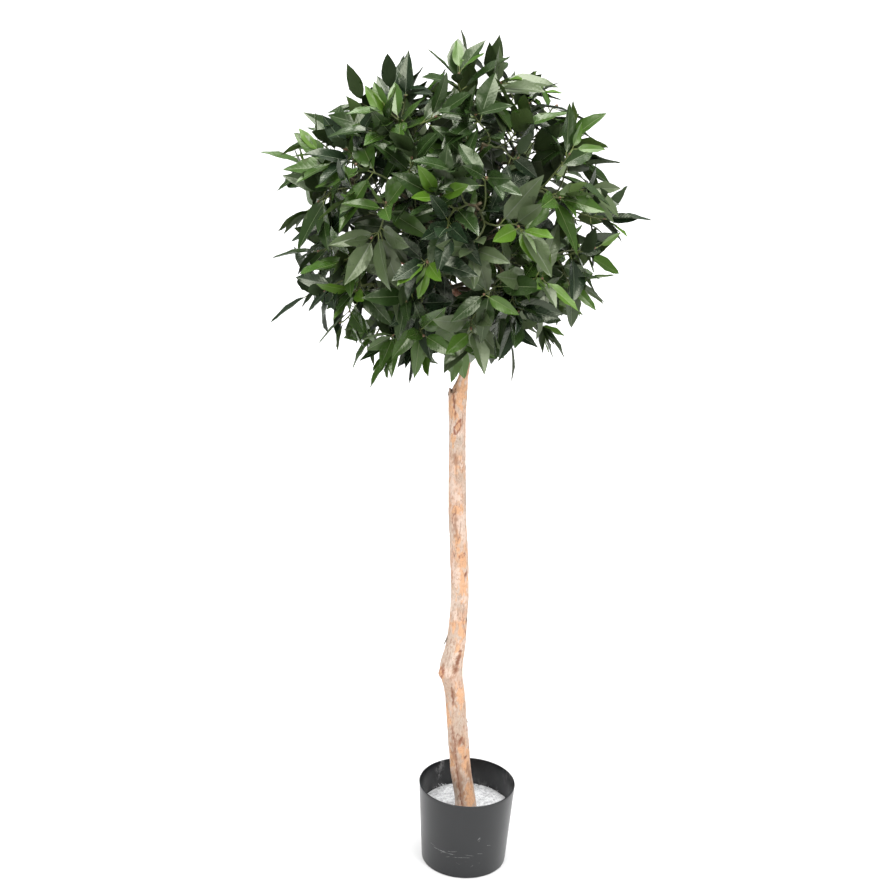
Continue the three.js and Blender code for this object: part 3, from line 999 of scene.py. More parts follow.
# Distances from the middle of the head: beyond the first, forks are drawn back in; a corner of a mass
# counts as far beyond the second; the others say how far out sprays and leaves may end.
FORK_DEPTH = 0.165
FAR_CORNER = 0.286
SPRAY_LIMIT = 0.288
LEAF_LIMIT = 0.290
OPEN_LIMIT = 0.262

# Below this height of heading a spray hangs under the head, and its leaves spread wider.
LOW_SIDE = -0.45
LOW_TILT = (42, 88)

LIMB_STEP = 9 * MM

# Least distance between the corners of a mass that carry a tuft.
TUFT_GAP = 0.055

# Sprays spread over the head: jitter of the heading, least and greatest depth below the surface, sway
# and sink of the axis, and least distance to the others. Only the standing ones keep it among themselves.
SPREADS = {
    "standing": (0.16, (0.020, 0.044), 0.7, 0, 0.055),
    "outer": (0.09, (0.014, 0.046), 0.75, 0.10, 0.050),
}


def open_side(place):
    """The way the upper sides look at a place in the head: outwards, and never downwards."""
    out = (place - HEAD).normalized()
    out.z = max(out.z, 0.1)
    return out.normalized()


class Spray:
    """The end of a twig, with a whorl of leaves round a bud."""

    def __init__(self, place, axis, mass, kind):
        self.place = place
        self.axis = axis
        self.mass = mass
        self.kind = kind
        self.tip = None
        self.twig = None
        self.hung = 0


class Growth:
    """Everything that the seeded branching rule grows from the bough ends."""

    def __init__(self, leaves, limbs):
        self.rng = random.Random(leaves.seed)
        self.leaves = leaves
        self.thin = limbs.twig_radius
        self.branches = []
        self.twigs = []
        self.shoots = []
        self.buds = []
        self.blades = {tint: [] for tint in DARK_TINTS + YOUNG_TINTS}
        form_rng = random.Random(leaves.seed + 1)
        forms = range(DARK_FORMS + YOUNG_FORMS)
        self.forms = [leaf_form(index, leaves.blade, form_rng) for index in forms]
        self.read_masses()
        self.sprays = self.tuft_sprays()
        self.sprays += self.spread_sprays("standing", leaves.standing)
        self.sprays += self.spread_sprays("outer", leaves.outer)
        self.grow_masses()
        self.grow_inner()
        for spray in self.sprays:
            self.dress(spray)
        bare = {id(spray.twig) for spray in self.sprays if not spray.hung}
        self.twigs = [line for line in self.twigs if id(line) not in bare]

    def read_masses(self):
        """One search tree over all masses, which says how far the foliage reaches in any direction."""
        points, faces, self.owner = [], [], []
        self.outs = {}
        self.corners = {}
        for name in FOLIAGE:
            mesh = frame["nodes"][name].data
            first = len(points)
            points += [v.co.copy() for v in mesh.vertices]
            for face in mesh.polygons:
                faces.append([first + i for i in face.vertices])
                self.owner.append(name)
            self.corners[name] = [Vector(c) for c in corners_of(name)]
            middle = sum(self.corners[name], Vector()) / len(self.corners[name])
            self.outs[name] = (middle - HEAD).normalized()
        self.surface = BVHTree.FromPolygons(points, faces)

    def reach(self, way):
        """How far the foliage reaches from the middle of the head, and the mass that does."""
        start = 0.5
        hit, _, index, far = self.surface.ray_cast(HEAD + way * start, -way, start)
        if hit is None:
            return None, None
        return start - far, self.owner[index]

    def tuft_sprays(self):
        """A spray behind each of up to three far corners of a mass, with a leaf that ends there."""
        sprays = []
        for name in FOLIAGE:
            corners = sorted(self.corners[name], key=lambda c: -(c - HEAD).length)
            taken = []
            for corner in corners:
                far = (corner - HEAD).length
                if far < FAR_CORNER or len(taken) > 2:
                    break
                if any((corner - other).length < TUFT_GAP for other in taken):
                    continue
                taken.append(corner)
                way = (corner - HEAD).normalized()
                axis = (way + scatter(self.rng, 0.12)).normalized()
                place = corner - axis * (self.leaves.blade + STALK) * self.rng.uniform(0.84, 1.04)
                spray = Spray(place, axis, name, "tuft")
                spray.tip = corner
                sprays.append(spray)
        return sprays

    def even_way(self, index, count, jitter):
        """One of a number of headings spread evenly round the head, a little off its place."""
        height = 1 - 2 * (index + 0.5) / count
        turn = index * GOLDEN_TURN + self.rng.uniform(-0.12, 0.12)
        level = math.sqrt(1 - height * height)
        way = Vector((math.cos(turn) * level, math.sin(turn) * level, height))
        return (way + scatter(self.rng, jitter)).normalized()

    def spread_sprays(self, kind, count):
        """Sprays of one kind spread evenly over the head, just below its surface."""
        jitter, depth, sway, sink, gap = SPREADS[kind]
        sprays = []
        for index in range(count):
            way = self.even_way(index, count, jitter)
            far, mass = self.reach(way)
            below = self.rng.uniform(*depth)
            lean = scatter(self.rng, sway)
            if far is None:
                continue
            place = HEAD + way * (min(far, SPRAY_LIMIT) - below)
            others = self.sprays + sprays if kind == "standing" else self.sprays
            if all((place - spray.place).length > gap for spray in others):
                sprays.append(Spray(place, (way + lean - UP * sink).normalized(), mass, kind))
        return sprays

    def limb_end(self, mass):
        """Where the CAD limb that carries a mass ends, and its heading there."""
        if mass == "foliage_top":
            low, high = [Vector((*trunk_at(z)[:2], z)) for z in (TRUNK_HIGH.z - 0.05, TRUNK_HIGH.z)]
            return high, (high - low).normalized()
        bough = mass.replace("foliage", "bough")
        rings = bough_rings(bough) if bough in frame["nodes"] else stem_rings()
        return rings[-1][0], (rings[-1][0] - rings[-2][0]).normalized()

    def bend(self, start, lead_out, end, lead_in, radius_out, radius_in, limbs):
        """Adds one limb from start to end, leaving and arriving along the given headings."""
        reach = (end - start).length
        steps = max(3, int(reach / LIMB_STEP))
        out = start + lead_out * reach * 0.38
        back = end - lead_in * reach * 0.38
        side = scatter(self.rng, 0.04) * reach
        line = []
        for step in range(steps + 1):
            part = step / steps
            rest = 1 - part
            place = start * rest ** 3 + out * 3 * rest ** 2 * part
            place += back * 3 * rest * part ** 2 + end * part ** 3
            place += side * math.sin(math.pi * part) ** 2
            line.append((place, blend(radius_out, radius_in, part)))
        limbs.append(line)
        return line

    def radius(self, count):
        return self.thin * count ** 0.36

    def fork(self, start, heading, sprays, before):
        """Grows one limb part of the way to its sprays, then splits it in two."""
        rng = self.rng
        if len(sprays) == 1:
            spray = sprays[0]
            spray.twig = self.bend(start, heading, spray.place, spray.axis,
                                   min(before, self.thin * 1.15), self.thin * 0.9, self.twigs)
            return
        middle = sum((s.place for s in sprays), Vector()) / len(sprays)
        way = middle - start
        join = start + way * rng.uniform(0.22, 0.42)
        out = join - HEAD
        if out.length > FORK_DEPTH:
            join = HEAD + out.normalized() * blend(FORK_DEPTH, out.length, 0.3)
        radius = min(before, self.radius(len(sprays)))
        arrive = (way.normalized() + heading * 0.3).normalized()
        limbs = self.branches if len(sprays) > 2 else self.twigs
        self.bend(start, heading, join, arrive, min(before, radius * 1.1), radius, limbs)
        spread = max(sprays, key=lambda s: (s.place - middle).length).place - middle
        spread -= arrive * spread.dot(arrive)
        ordered = sorted(sprays, key=lambda s: s.place.dot(spread))
        half = len(ordered) // 2 + (rng.random() < 0.5 and len(ordered) % 2)
        self.fork(join, arrive, ordered[:half], radius)
        self.fork(join, arrive, ordered[half:], radius)

    def grow_masses(self):
        for name in FOLIAGE:
            mine = [spray for spray in self.sprays if spray.mass == name]
            if mine:
                end, heading = self.limb_end(name)
                self.fork(end - heading * 2 * MM, heading, mine, 2.4 * MM)

    def grow_inner(self):
        """Side twigs off the boughs, which fill the inside of the head."""
        rng = self.rng
        lines = [bough_rings(name) for name in BOUGHS]
        for index in range(self.leaves.inner):
            line = lines[index % len(lines)]
            spot = rng.uniform(1.6, 4.2)
            low = int(spot)
            start = line[low][0].lerp(line[low + 1][0], spot - low)
            along = (line[low + 1][0] - line[low][0]).normalized()
            side = turn_about(any_side(along), along, rng.uniform(0, 2 * math.pi))
            axis = (along * 0.7 + side + (start - HEAD).normalized() * 0.4).normalized()
            place = start + axis * rng.uniform(0.035, 0.075)
            spray = Spray(place, axis, None, "inner")
            spray.twig = self.bend(start, (along + side).normalized(), place, axis,
                                   self.thin * 1.1, self.thin * 0.9, self.twigs)
            self.sprays.append(spray)

    def blade(self, spray, tint, form, foot, way, face, size, free=False):
        """Adds one leaf, or leaves it out where it would stand too far out of the head."""
        way = way.normalized()
        tip = self.forms[form][1]
        if not free:
            out = foot + way * size * tip.length - HEAD
            limit = min(self.reach(out.normalized())[0] or OPEN_LIMIT, LEAF_LIMIT)
            over = out.length - limit - self.rng.uniform(0.006, 0.026)
            if over > 0.030:
                return
            size *= min(1, max(0.6, 1 - over / tip.length))
        face = (face - way * face.dot(way)).normalized()
        stand = Matrix((way, face.cross(way), face)).transposed()
        chord = tip.normalized()
        above = (UP - chord * chord.z).normalized()
        own = Matrix((chord, above.cross(chord), above))
        turn = (stand @ own).to_euler()
        self.blades[tint].append((foot, Vector(turn), Vector((size, size, size)), form))
        spray.hung += 1

    def exact_blade(self, spray, tint, young, tip, face):
        """Adds one leaf from a spray's end right to a tip."""
        form = DARK_FORMS + self.rng.randrange(YOUNG_FORMS) if young else self.rng.randrange(DARK_FORMS)
        way = tip - spray.place
        size = way.length / self.forms[form][1].length
        self.blade(spray, tint, form, spray.place, way, face, size, free=True)

    def back_along(self, spray, far):
        """The spot on a spray's twig that lies this far behind its end, and the heading there."""
        line = spray.twig
        for (end, _), (start, _) in zip(line[::-1], line[-2::-1]):
            step = end - start
            if far <= step.length:
                return end - step.normalized() * far, step.normalized()
            far -= step.length
        return line[0][0], (line[1][0] - line[0][0]).normalized()

    def leafy_end(self, spray, tint, count, first, spacing, tilt, droop, size):
        """Leaves one after another round the end of a twig, the lower ones spread wider."""
        rng = self.rng
        if (spray.place - HEAD).normalized().z < LOW_SIDE:
            tilt, droop = LOW_TILT, droop * 0.3
        start_turn = rng.uniform(0, 2 * math.pi)
        for index in range(count):
            base, axis = self.back_along(spray, first + spacing * index * rng.uniform(0.7, 1.3))
            turn = start_turn + index * GOLDEN_TURN + rng.uniform(-0.5, 0.5)
            away = turn_about(any_side(axis), axis, turn)
            lean = math.radians(blend(*tilt, index / max(1, count - 1)) + rng.uniform(-14, 14))
            way = axis * math.cos(lean) + away * math.sin(lean)
            way = (way - UP * droop * rng.uniform(0.2, 1.6)).normalized()
            face = (axis - way * axis.dot(way)).normalized() * 0.5 + open_side(base) * 0.8 + UP * 0.5
            face += scatter(rng, 0.42)
            form = rng.randrange(DARK_FORMS)
            self.blade(spray, tint, form, base, way, face, size * rng.uniform(0.78, 1.16))

    def young_end(self, spray, ways, size):
        """A short green shoot with young leaves along the given headings."""
        rng = self.rng
        tint = rng.choices(YOUNG_TINTS, YOUNG_SHARES)[0]
        tip = spray.place + spray.axis * rng.uniform(0.004, 0.012)
        self.shoots.append([(spray.place, 1.3 * MM), (tip, 1.0 * MM)])
        for index, way in enumerate(ways):
            base = tip - spray.axis * index * 2 * MM
            face = open_side(spray.place) + UP * 0.25 + scatter(rng, 0.35)
            form = DARK_FORMS + rng.randrange(YOUNG_FORMS)
            self.blade(spray, tint, form, base, way, face, size * rng.uniform(0.85, 1.10))

    def round_ways(self, axis, count):
        """Headings of a few leaves that lean out round an axis."""
        ways = []
        side = turn_about(any_side(axis), axis, self.rng.uniform(0, 2 * math.pi))
        for index in range(count):
            away = turn_about(side, axis, index * GOLDEN_TURN + self.rng.uniform(-0.3, 0.3))
            lean = math.radians(self.rng.uniform(15, 60))
            ways.append(axis * math.cos(lean) + away * math.sin(lean) - UP * 0.1)
        return ways

    def dress(self, spray):
        """Hangs the leaves of one spray and, unless it is an inner one, its bud and any young shoot."""
        rng = self.rng
        tint = rng.choices(DARK_TINTS, DARK_SHARES)[0]
        young = rng.random() < self.leaves.young_share
        if spray.kind == "standing":
            leaf_tint = rng.choices(YOUNG_TINTS, YOUNG_SHARES)[0] if young else tint
            for way in self.round_ways(spray.axis, rng.randint(1, 3)):
                face = open_side(spray.place) + UP * 0.3 + scatter(rng, 0.6)
                tip = spray.place + way.normalized() * self.leaves.blade * rng.uniform(0.72, 0.98)
                self.exact_blade(spray, leaf_tint, young, tip, face)
            self.leafy_end(spray, tint, rng.randint(3, 5), 8 * MM, 8 * MM, (50, 80), 0.18, 0.95)
        elif spray.kind == "tuft":
            face = UP + open_side(spray.place) * 0.4 + scatter(rng, 0.4)
            self.exact_blade(spray, tint, False, spray.tip, face)
            self.leafy_end(spray, tint, 6, 2 * MM, 7 * MM, (25, 62), 0.12, 0.95)
        elif spray.kind == "outer":
            self.leafy_end(spray, tint, rng.randint(6, 8), 0, 6.5 * MM, (30, 72), 0.22, 1.06)
        else:
            self.leafy_end(spray, tint, rng.randint(5, 7), 0, 7 * MM, (35, 80), 0.1, 0.95)
        if spray.kind == "inner" or not spray.hung:
            return
        self.buds.append((spray.place + spray.axis * 1 * MM, spray.axis))
        if spray.kind in ("outer", "tuft") and young:
            self.young_end(spray, self.round_ways(spray.axis, rng.randint(2, 3)), 1.0)


# ---------------------------------------------------------------- limbs


def limb_rule():
    """Skins every spline with its own radius and gives the skin an uneven grain."""
    rule = Rule("Skin limbs", {
        "Sides": "NodeSocketInt",
        "Relief": "NodeSocketFloat",
        "Grain": "NodeSocketFloat",
        "Finish": "NodeSocketMaterial",
    })
    given = rule.given
    ring = rule.add("GeometryNodeCurvePrimitiveCircle", {"Resolution": given["Sides"], "Radius": 1.0})
    radius = rule.add("GeometryNodeInputRadius")
    skin = rule.add("GeometryNodeCurveToMesh", {
        "Curve": given["Geometry"], "Profile Curve": ring.outputs["Curve"],
        "Scale": radius.outputs[0], "Fill Caps": True,
    })
    grain = rule.add("ShaderNodeTexNoise", {"Scale": given["Grain"], "Detail": 3.0})
    centred = rule.add("ShaderNodeMath", {0: grain.outputs["Fac"], 1: 0.5}, operation="SUBTRACT")
    height = rule.add("ShaderNodeMath", {0: centred.outputs[0], 1: given["Relief"]}, operation="MULTIPLY")
    normal = rule.add("GeometryNodeInputNormal")
    shift = rule.add("ShaderNodeVectorMath", {0: normal.outputs["Normal"]}, operation="SCALE")
    rule.tree.links.new(height.outputs[0], shift.inputs["Scale"])
    moved = rule.add("GeometryNodeSetPosition", {
        "Geometry": skin.outputs["Mesh"], "Offset": shift.outputs["Vector"],
    })
    smooth = rule.add("GeometryNodeSetShadeSmooth", {"Geometry": moved.outputs[0]})
    real = rule.add("GeometryNodeRealizeInstances", {"Geometry": smooth.outputs[0]})
    last = rule.add("GeometryNodeSetMaterial", {"Geometry": real.outputs[0], "Material": given["Finish"]})
    rule.end(last.outputs[0])
    return rule


def skin_limbs(name, lines, sides, relief, grain, finish):
    """One mesh of all the given lines of (place, radius)."""
    curve = bpy.data.curves.new(name + "_lines", "CURVE")
    curve.dimensions = "3D"
    for line in lines:
        spline = curve.splines.new("POLY")
        spline.points.add(len(line) - 1)
        for point, (place, radius) in zip(spline.points, line):
            point.co = (*place, 1)
            point.radius = radius
    source = add_object(name + "_lines", curve)
    values = {"Sides": sides, "Relief": relief * MM, "Grain": grain, "Finish": finish}
    return limb_rule().run(source, name, values)


def resample(rings, step):
    """A smooth line of (place, radius) through a limb's rings."""
    along = [0]
    for (before, _), (after, _) in zip(rings, rings[1:]):
        along.append(along[-1] + (after - before).length)
    curves = [steady_curve(along, [ring[0][axis] for ring in rings]) for axis in range(3)]
    thick = steady_curve(along, [ring[1] for ring in rings])
    count = max(4, int(along[-1] / step))
    line = []
    for index in range(count + 1):
        spot = along[-1] * index / count
        line.append((Vector([curve(spot) for curve in curves]), thick(spot)))
    return line


def wood_finish(name, dark, light, roughness):
    finish = Finish(name, roughness)
    streaks = finish.noise(120, (1, 1, 0.4), detail=4, roughness=0.6)
    fine = finish.noise(500, detail=3)
    finish.set("Base Color", finish.mix(finish.ramp(streaks, 0.38, 0.66), dark, light))
    finish.set("Roughness", finish.ramp(fine, 0.3, 0.7, roughness - 0.08, roughness + 0.08))
    finish.bump(finish.plus(streaks, fine), 0.0006, 0.8)
    return finish.material


def plain_finish(name, base, roughness, grain, distance):
    """One colour all over, with its relief from nodes."""
    finish = Finish(name, roughness)
    finish.set("Base Color", list(base))
    finish.bump(finish.noise(grain, detail=3), distance, 0.7)
    return finish.material


LINE_STEP = 4 * MM
STUB_HEIGHT = 1.046
STUB_END = Vector((-0.017, -0.020, 1.050))


def stub_line():
    """A short sawn stub on the leader, inside the head."""
    x, y, _ = trunk_at(STUB_HEIGHT)
    foot = Vector((x, y - 0.004, STUB_HEIGHT))
    return [(foot, 6 * MM), (STUB_END, 7.5 * MM), (STUB_END + Vector((0.002, -0.003, 0)), 7 * MM)]


class OBJECT_OT_bay_limbs(bpy.types.Operator):
    """Skins the second stem, the boughs, and the branches and twigs that grow on from them."""

    bl_idname = "object.bay_limbs"
    bl_label = "Stem, boughs and twigs"

    def execute(self, context):
        scene = settings(context)
        limbs, trunk, growth = scene.limbs, scene.trunk, grown(context)
        stem = resample(stem_rings(), LINE_STEP)
        foot = stem[0][0]
        stem = [(place, radius * blend(0.12, 1, ease(0, 0.024, (place - foot).length)))
                for place, radius in stem]
        finish = wood_finish("stem wood", list(trunk.knot), list(trunk.wood), 0.7)
        piece = skin_limbs("second_stem_bark", [stem], 20, 1.6, 140.0, finish)
        hand_in(piece, ["second_stem"])

        lines = []
        for name in BOUGHS:
            line = resample(bough_rings(name), LINE_STEP)
            inward = (line[0][0] - line[1][0]).normalized()
            foot = (line[0][0] + inward * 3.5 * MM, line[0][1] * 1.35)
            lines.append([foot] + line)
        lines.append(stub_line())
        finish = wood_finish("bough bark", list(limbs.bough), list(limbs.bough_light), 0.7)
        piece = skin_limbs("boughs", lines + growth.branches, 10, 0.9, 190.0, finish)
        hand_in(piece, BOUGHS)

        finish = plain_finish("twig skin", limbs.twig, 0.55, 600, 0.0003)
        piece = skin_limbs("twigs", growth.twigs, 6, 0.3, 260.0, finish)
        hand_in(piece)
        finish = plain_finish("shoot skin", limbs.shoot, 0.5, 600, 0.0002)
        piece = skin_limbs("green_shoots", growth.shoots, 6, 0.2, 260.0, finish)
        hand_in(piece)
        return {"FINISHED"}


# ---------------------------------------------------------------- leaves and buds

BLADE_ROWS = (0, 0.08, 0.20, 0.34, 0.49, 0.64, 0.78, 0.90, 1)
UPPER, UNDER, RIB, PETIOLE = range(4)
LEAF_PARTS = ("Upper side", "Underside", "Rib", "Stalk")
STRIPS = (UPPER, UPPER, RIB, UPPER, UPPER, UNDER, UNDER)

# Tint, name of the piece, roughness, and the colours of the underside and the rib.
LEAF_LOOKS = (
    ("deep", "leaves_deep_green", 0.25, (0.022, 0.040, 0.010), (0.065, 0.092, 0.036)),
    ("blue", "leaves_blue_green", 0.27, (0.024, 0.040, 0.016), (0.062, 0.082, 0.045)),
    ("forest", "leaves_forest_green", 0.26, (0.032, 0.056, 0.011), (0.075, 0.110, 0.030)),
    ("grey", "leaves_grey_green", 0.29, (0.040, 0.055, 0.025), (0.090, 0.110, 0.065)),
    ("bright", "young_leaves_bright", 0.32, (0.070, 0.120, 0.020), (0.110, 0.175, 0.040)),
    ("soft", "young_leaves_soft", 0.28, (0.050, 0.085, 0.016), (0.080, 0.130, 0.030)),
)
BUD_FORMS = 3
BUD_ROWS, BUD_SIDES = 5, 7


def leaf_form(index, blade, rng):
    """A folded blade with a narrow rib in its fold and a short stalk, and where its tip is.

    It lies along x, and z points out of its upper side.
    """
    young = index >= DARK_FORMS
    long = blade * (YOUNG_LENGTH if young else 1)
    wide = long * (rng.uniform(0.175, 0.215) if young else rng.uniform(0.190, 0.225))
    low_round, high_round = rng.uniform(0.68, 0.82), rng.uniform(0.98, 1.20)
    whole = low_round + high_round
    arch = rng.uniform(-0.02, 0.14) if young else rng.uniform(-0.02, 0.24)
    fold = rng.uniform(0.16, 0.44)
    sickle = rng.uniform(-0.06, 0.06)
    twist = rng.uniform(-0.5, 0.5)
    wave = rng.uniform(0.05, 0.12) if young else rng.uniform(0.03, 0.10)
    phase = rng.uniform(0, 6)
    peak = (low_round / whole) ** low_round * (high_round / whole) ** high_round
    points, faces, parts, places = [], [], [], []

    def add(x, y, z, part):
        turn = twist * part
        x, z = x, z - arch * x * x / long
        y, z = y * math.cos(turn) - z * math.sin(turn) * 0.3, z + y * math.sin(turn)
        points.append(Vector((x + STALK, y + sickle * x * x / long, z)))
        places.append((x / long, 0.5 + y / (2 * wide)))
        return len(points) - 1

    rows = []
    for row, part in enumerate(BLADE_ROWS):
        x = long * part
        half = wide * max(0.06, part ** low_round * (1 - part) ** high_round / peak)
        if row == len(BLADE_ROWS) - 1:
            tip = add(x, 0, 0, part)
            rows.append([tip])
            continue
        left = half * (1 + rng.uniform(-0.13, 0.06))
        right = half * (1 + rng.uniform(-0.13, 0.06))
        rib = 0.75 * MM * (1 - part * 0.6)
        ripple = wave * wide * math.sin(phase + part * 15)
        other = wave * wide * math.sin(phase * 2 + part * 13)
        thick = 0.45 * MM
        row_ids = [
            add(x, -left, fold * left + ripple, part),
            add(x, -left * 0.52, fold * left * 0.50 + ripple * 0.3 + 0.5 * MM, part),
            add(x, -min(rib, left * 0.4), 0, part),
            add(x, min(rib, right * 0.4), 0, part),
            add(x, right * 0.52, fold * right * 0.50 + other * 0.3 + 0.5 * MM, part),
            add(x, right, fold * right + other, part),
        ]
        row_ids.append(add(x, 0, -thick - 0.4 * MM, part))
        rows.append(row_ids)

    def face(kind, *corners):
        faces.append(corners[::-1] if kind == PETIOLE else corners)
        parts.append(kind)

    for low, high in zip(rows, rows[1:]):
        for first, kind in enumerate(STRIPS):
            second = (first + 1) % len(STRIPS)
            farther = (high[first], high[second]) if len(high) > 1 else (high[0],)
            face(kind, low[first], *farther, low[second])
    face(UNDER, *rows[0])

    ends = []
    for x, thick in ((0, 1.1 * MM), (STALK + 3 * MM, 0.8 * MM)):
        ring = []
        for side in range(3):
            angle = 2 * math.pi * side / 3
            points.append(Vector((x, thick * math.cos(angle), thick * math.sin(angle) - 0.3 * MM)))
            places.append((0, 0.5))
            ring.append(len(points) - 1)
        ends.append(ring)
    for side in range(3):
        after = (side + 1) % 3
        face(PETIOLE, ends[0][side], ends[1][side], ends[1][after], ends[0][after])
    face(PETIOLE, *ends[0])
    face(PETIOLE, *ends[1][::-1])

    mesh = new_mesh(f"leaf_form_{index:02d}", points, faces)
    store(mesh, "part", "INT", "FACE", parts)
    mesh.shade_smooth()
    sharpen(mesh, parts)
    layer = mesh.uv_layers.new(name="leaf_map")
    for loop in mesh.loops:
        layer.data[loop.index].uv = places[loop.vertex_index]
    return mesh, points[rows[-1][0]]


def sharpen(mesh, parts):
    """Marks the edges where the upper side meets the underside."""
    touching = {}
    for face in mesh.polygons:
        for key in face.edge_keys:
            touching.setdefault(key, set()).add(parts[face.index] == UNDER)
    layer = mesh.attributes.new("sharp_edge", "BOOLEAN", "EDGE")
    for edge in mesh.edges:
        layer.data[edge.index].value = len(touching[tuple(sorted(edge.vertices))]) > 1


def leaf_rule():
    """Puts the leaf forms on the points and gives each part of a leaf its finish."""
    materials = dict.fromkeys(LEAF_PARTS, "NodeSocketMaterial")
    rule = Rule("Hang leaves", {"Leaf forms": "NodeSocketCollection", **materials})
    given = rule.given
    forms = rule.add("GeometryNodeCollectionInfo", {
        "Collection": given["Leaf forms"], "Separate Children": True, "Reset Children": True,
    })
    turn = rule.add("FunctionNodeEulerToRotation", {"Euler": rule.named("turn", "FLOAT_VECTOR")})
    hung = rule.add("GeometryNodeInstanceOnPoints", {
        "Points": given["Geometry"], "Instance": forms.outputs[0], "Pick Instance": True,
        "Instance Index": rule.named("form", "INT"), "Rotation": turn.outputs[0],
        "Scale": rule.named("size", "FLOAT_VECTOR"),
    })
    real = rule.add("GeometryNodeRealizeInstances", {"Geometry": hung.outputs[0]})
    part = rule.named("part", "INT")
    last = real.outputs[0]
    for number, label in enumerate(LEAF_PARTS):
        same = rule.add("FunctionNodeCompare", {2: part, 3: number}, data_type="INT", operation="EQUAL")
        last = rule.add("GeometryNodeSetMaterial", {
            "Geometry": last, "Selection": same.outputs[0], "Material": given[label],
        }).outputs[0]
    rule.end(last)
    return rule


def hang(rule, name, items, values):
    """One mesh with a form on every item of (place, turn, size, form)."""
    mesh = new_mesh(name + "_points", [item[0] for item in items])
    columns = (("turn", "FLOAT_VECTOR"), ("size", "FLOAT_VECTOR"), ("form", "INT"))
    for column, (label, kind) in enumerate(columns, 1):
        store(mesh, label, kind, "POINT", [item[column] for item in items])
    piece = rule.run(add_object(name + "_points", mesh), name, values)
    drop_layers(piece.data, ("turn", "size", "form", "part"))
    return piece


def blade_finish(name, base, roughness, veins, level=0.50):
    """The upper side or underside of a leaf: one colour, with feathered veins in relief."""
    finish = Finish(name, roughness)
    finish.set("Base Color", list(base))
    finish.set("Specular IOR Level", level)
    finish.set("Specular Tint", (0.95, 1.0, 0.78, 1))
    spot = finish.add("ShaderNodeUVMap", uv_map="leaf_map").outputs[0]
    parts = finish.add("ShaderNodeSeparateXYZ", {"Vector": spot})
    off_rib = finish.off(parts.outputs["Y"], 0.5)
    run = finish.less(parts.outputs["X"], finish.times(off_rib, 0.42))
    ripple = finish.math("SINE", finish.times(run, 62))
    vein = finish.math("POWER", finish.ramp(ripple, -1, 1), 5)
    leather = finish.noise(180, detail=4)
    relief = finish.plus(finish.times(vein, -veins), leather)
    finish.bump(relief, 0.0005, 0.5)
    return finish.material


class OBJECT_OT_bay_leaves(bpy.types.Operator):
    """Hangs the leaves, one mesh for each tint, and the buds."""

    bl_idname = "object.bay_leaves"
    bl_label = "Leaves and buds"

    def execute(self, context):
        scene, growth = settings(context), grown(context)
        shelf = shelve("leaf forms", [mesh for mesh, _ in growth.forms])
        rule = leaf_rule()
        replaced = FOLIAGE
        for tint, name, roughness, under, rib in LEAF_LOOKS:
            upper = getattr(scene.leaves, tint)
            piece = hang(rule, name, growth.blades[tint], {
                "Leaf forms": shelf,
                "Upper side": blade_finish(name + " upper", upper, roughness, 0.28),
                "Underside": blade_finish(name + " under", (*under, 1), 0.6, 0.3, 0.35),
                "Rib": plain_finish(name + " rib", (*rib, 1), 0.45, 500, 0.0002),
                "Stalk": plain_finish(name + " stalk", scene.limbs.stalk, 0.5, 500, 0.0002),
            })
            hand_in(piece, replaced)
            replaced = ()
        clear(shelf)
        hang_buds(scene, growth.buds)
        return {"FINISHED"}


def shelve(name, meshes):
    """A collection of forms for the leaf rule to pick from."""
    shelf = bpy.data.collections.new(name)
    for mesh in meshes:
        shelf.objects.link(bpy.data.objects.new(mesh.name, mesh))
    return shelf


def clear(shelf):
    for form in list(shelf.objects):
        bpy.data.objects.remove(form)
    bpy.data.collections.remove(shelf)


def bud_form(index, rng):
    """A blunt bud with an uneven skin."""
    points = [Vector((0, 0, -3.2 * MM))]
    for row in range(1, BUD_ROWS):
        turn = math.pi * row / BUD_ROWS
        for side in range(BUD_SIDES):
            angle = 2 * math.pi * (side + 0.5 * (row % 2)) / BUD_SIDES
            reach = 3.1 * MM * math.sin(turn) * rng.uniform(0.86, 1.16)
            height = -3.6 * MM * math.cos(turn) + (1.2 * MM if row > 2 else 0)
            points.append(Vector((reach * math.cos(angle), reach * math.sin(angle), height)))
    points.append(Vector((0, 0, 5.6 * MM)))
    faces = lump_faces(BUD_ROWS, BUD_SIDES)
    mesh = new_mesh(f"bud_form_{index}", points, faces)
    store(mesh, "part", "INT", "FACE", [UPPER] * len(faces))
    mesh.shade_smooth()
    return mesh


def hang_buds(scene, buds):
    rng = random.Random(scene.leaves.seed + 2)
    shelf = shelve("bud forms", [bud_form(index, rng) for index in range(BUD_FORMS)])
    items = []
    for place, axis in buds:
        turn = Vector(axis.to_track_quat("Z", "Y").to_euler())
        size = rng.uniform(0.5, 0.8)
        stretched = Vector((size, size, size * rng.uniform(0.8, 1.2)))
        items.append((place, turn, stretched, rng.randrange(BUD_FORMS)))
    brown = plain_finish("bud scales", scene.limbs.bud, 0.6, 420, 0.0008)
    piece = hang(leaf_rule(), "buds", items, {"Leaf forms": shelf, **dict.fromkeys(LEAF_PARTS, brown)})
    hand_in(piece)
    clear(shelf)


GROWN = {}


def grown(context):
    """The one growth that the limbs and the leaves share."""
    scene = settings(context)
    leaves = scene.leaves
    key = (leaves.seed, leaves.standing, leaves.outer, leaves.inner, leaves.blade, leaves.young_share,
           scene.limbs.twig_radius)
    if key not in GROWN:
        GROWN[key] = Growth(leaves, scene.limbs)
    return GROWN[key]


# ---------------------------------------------------------------- stage

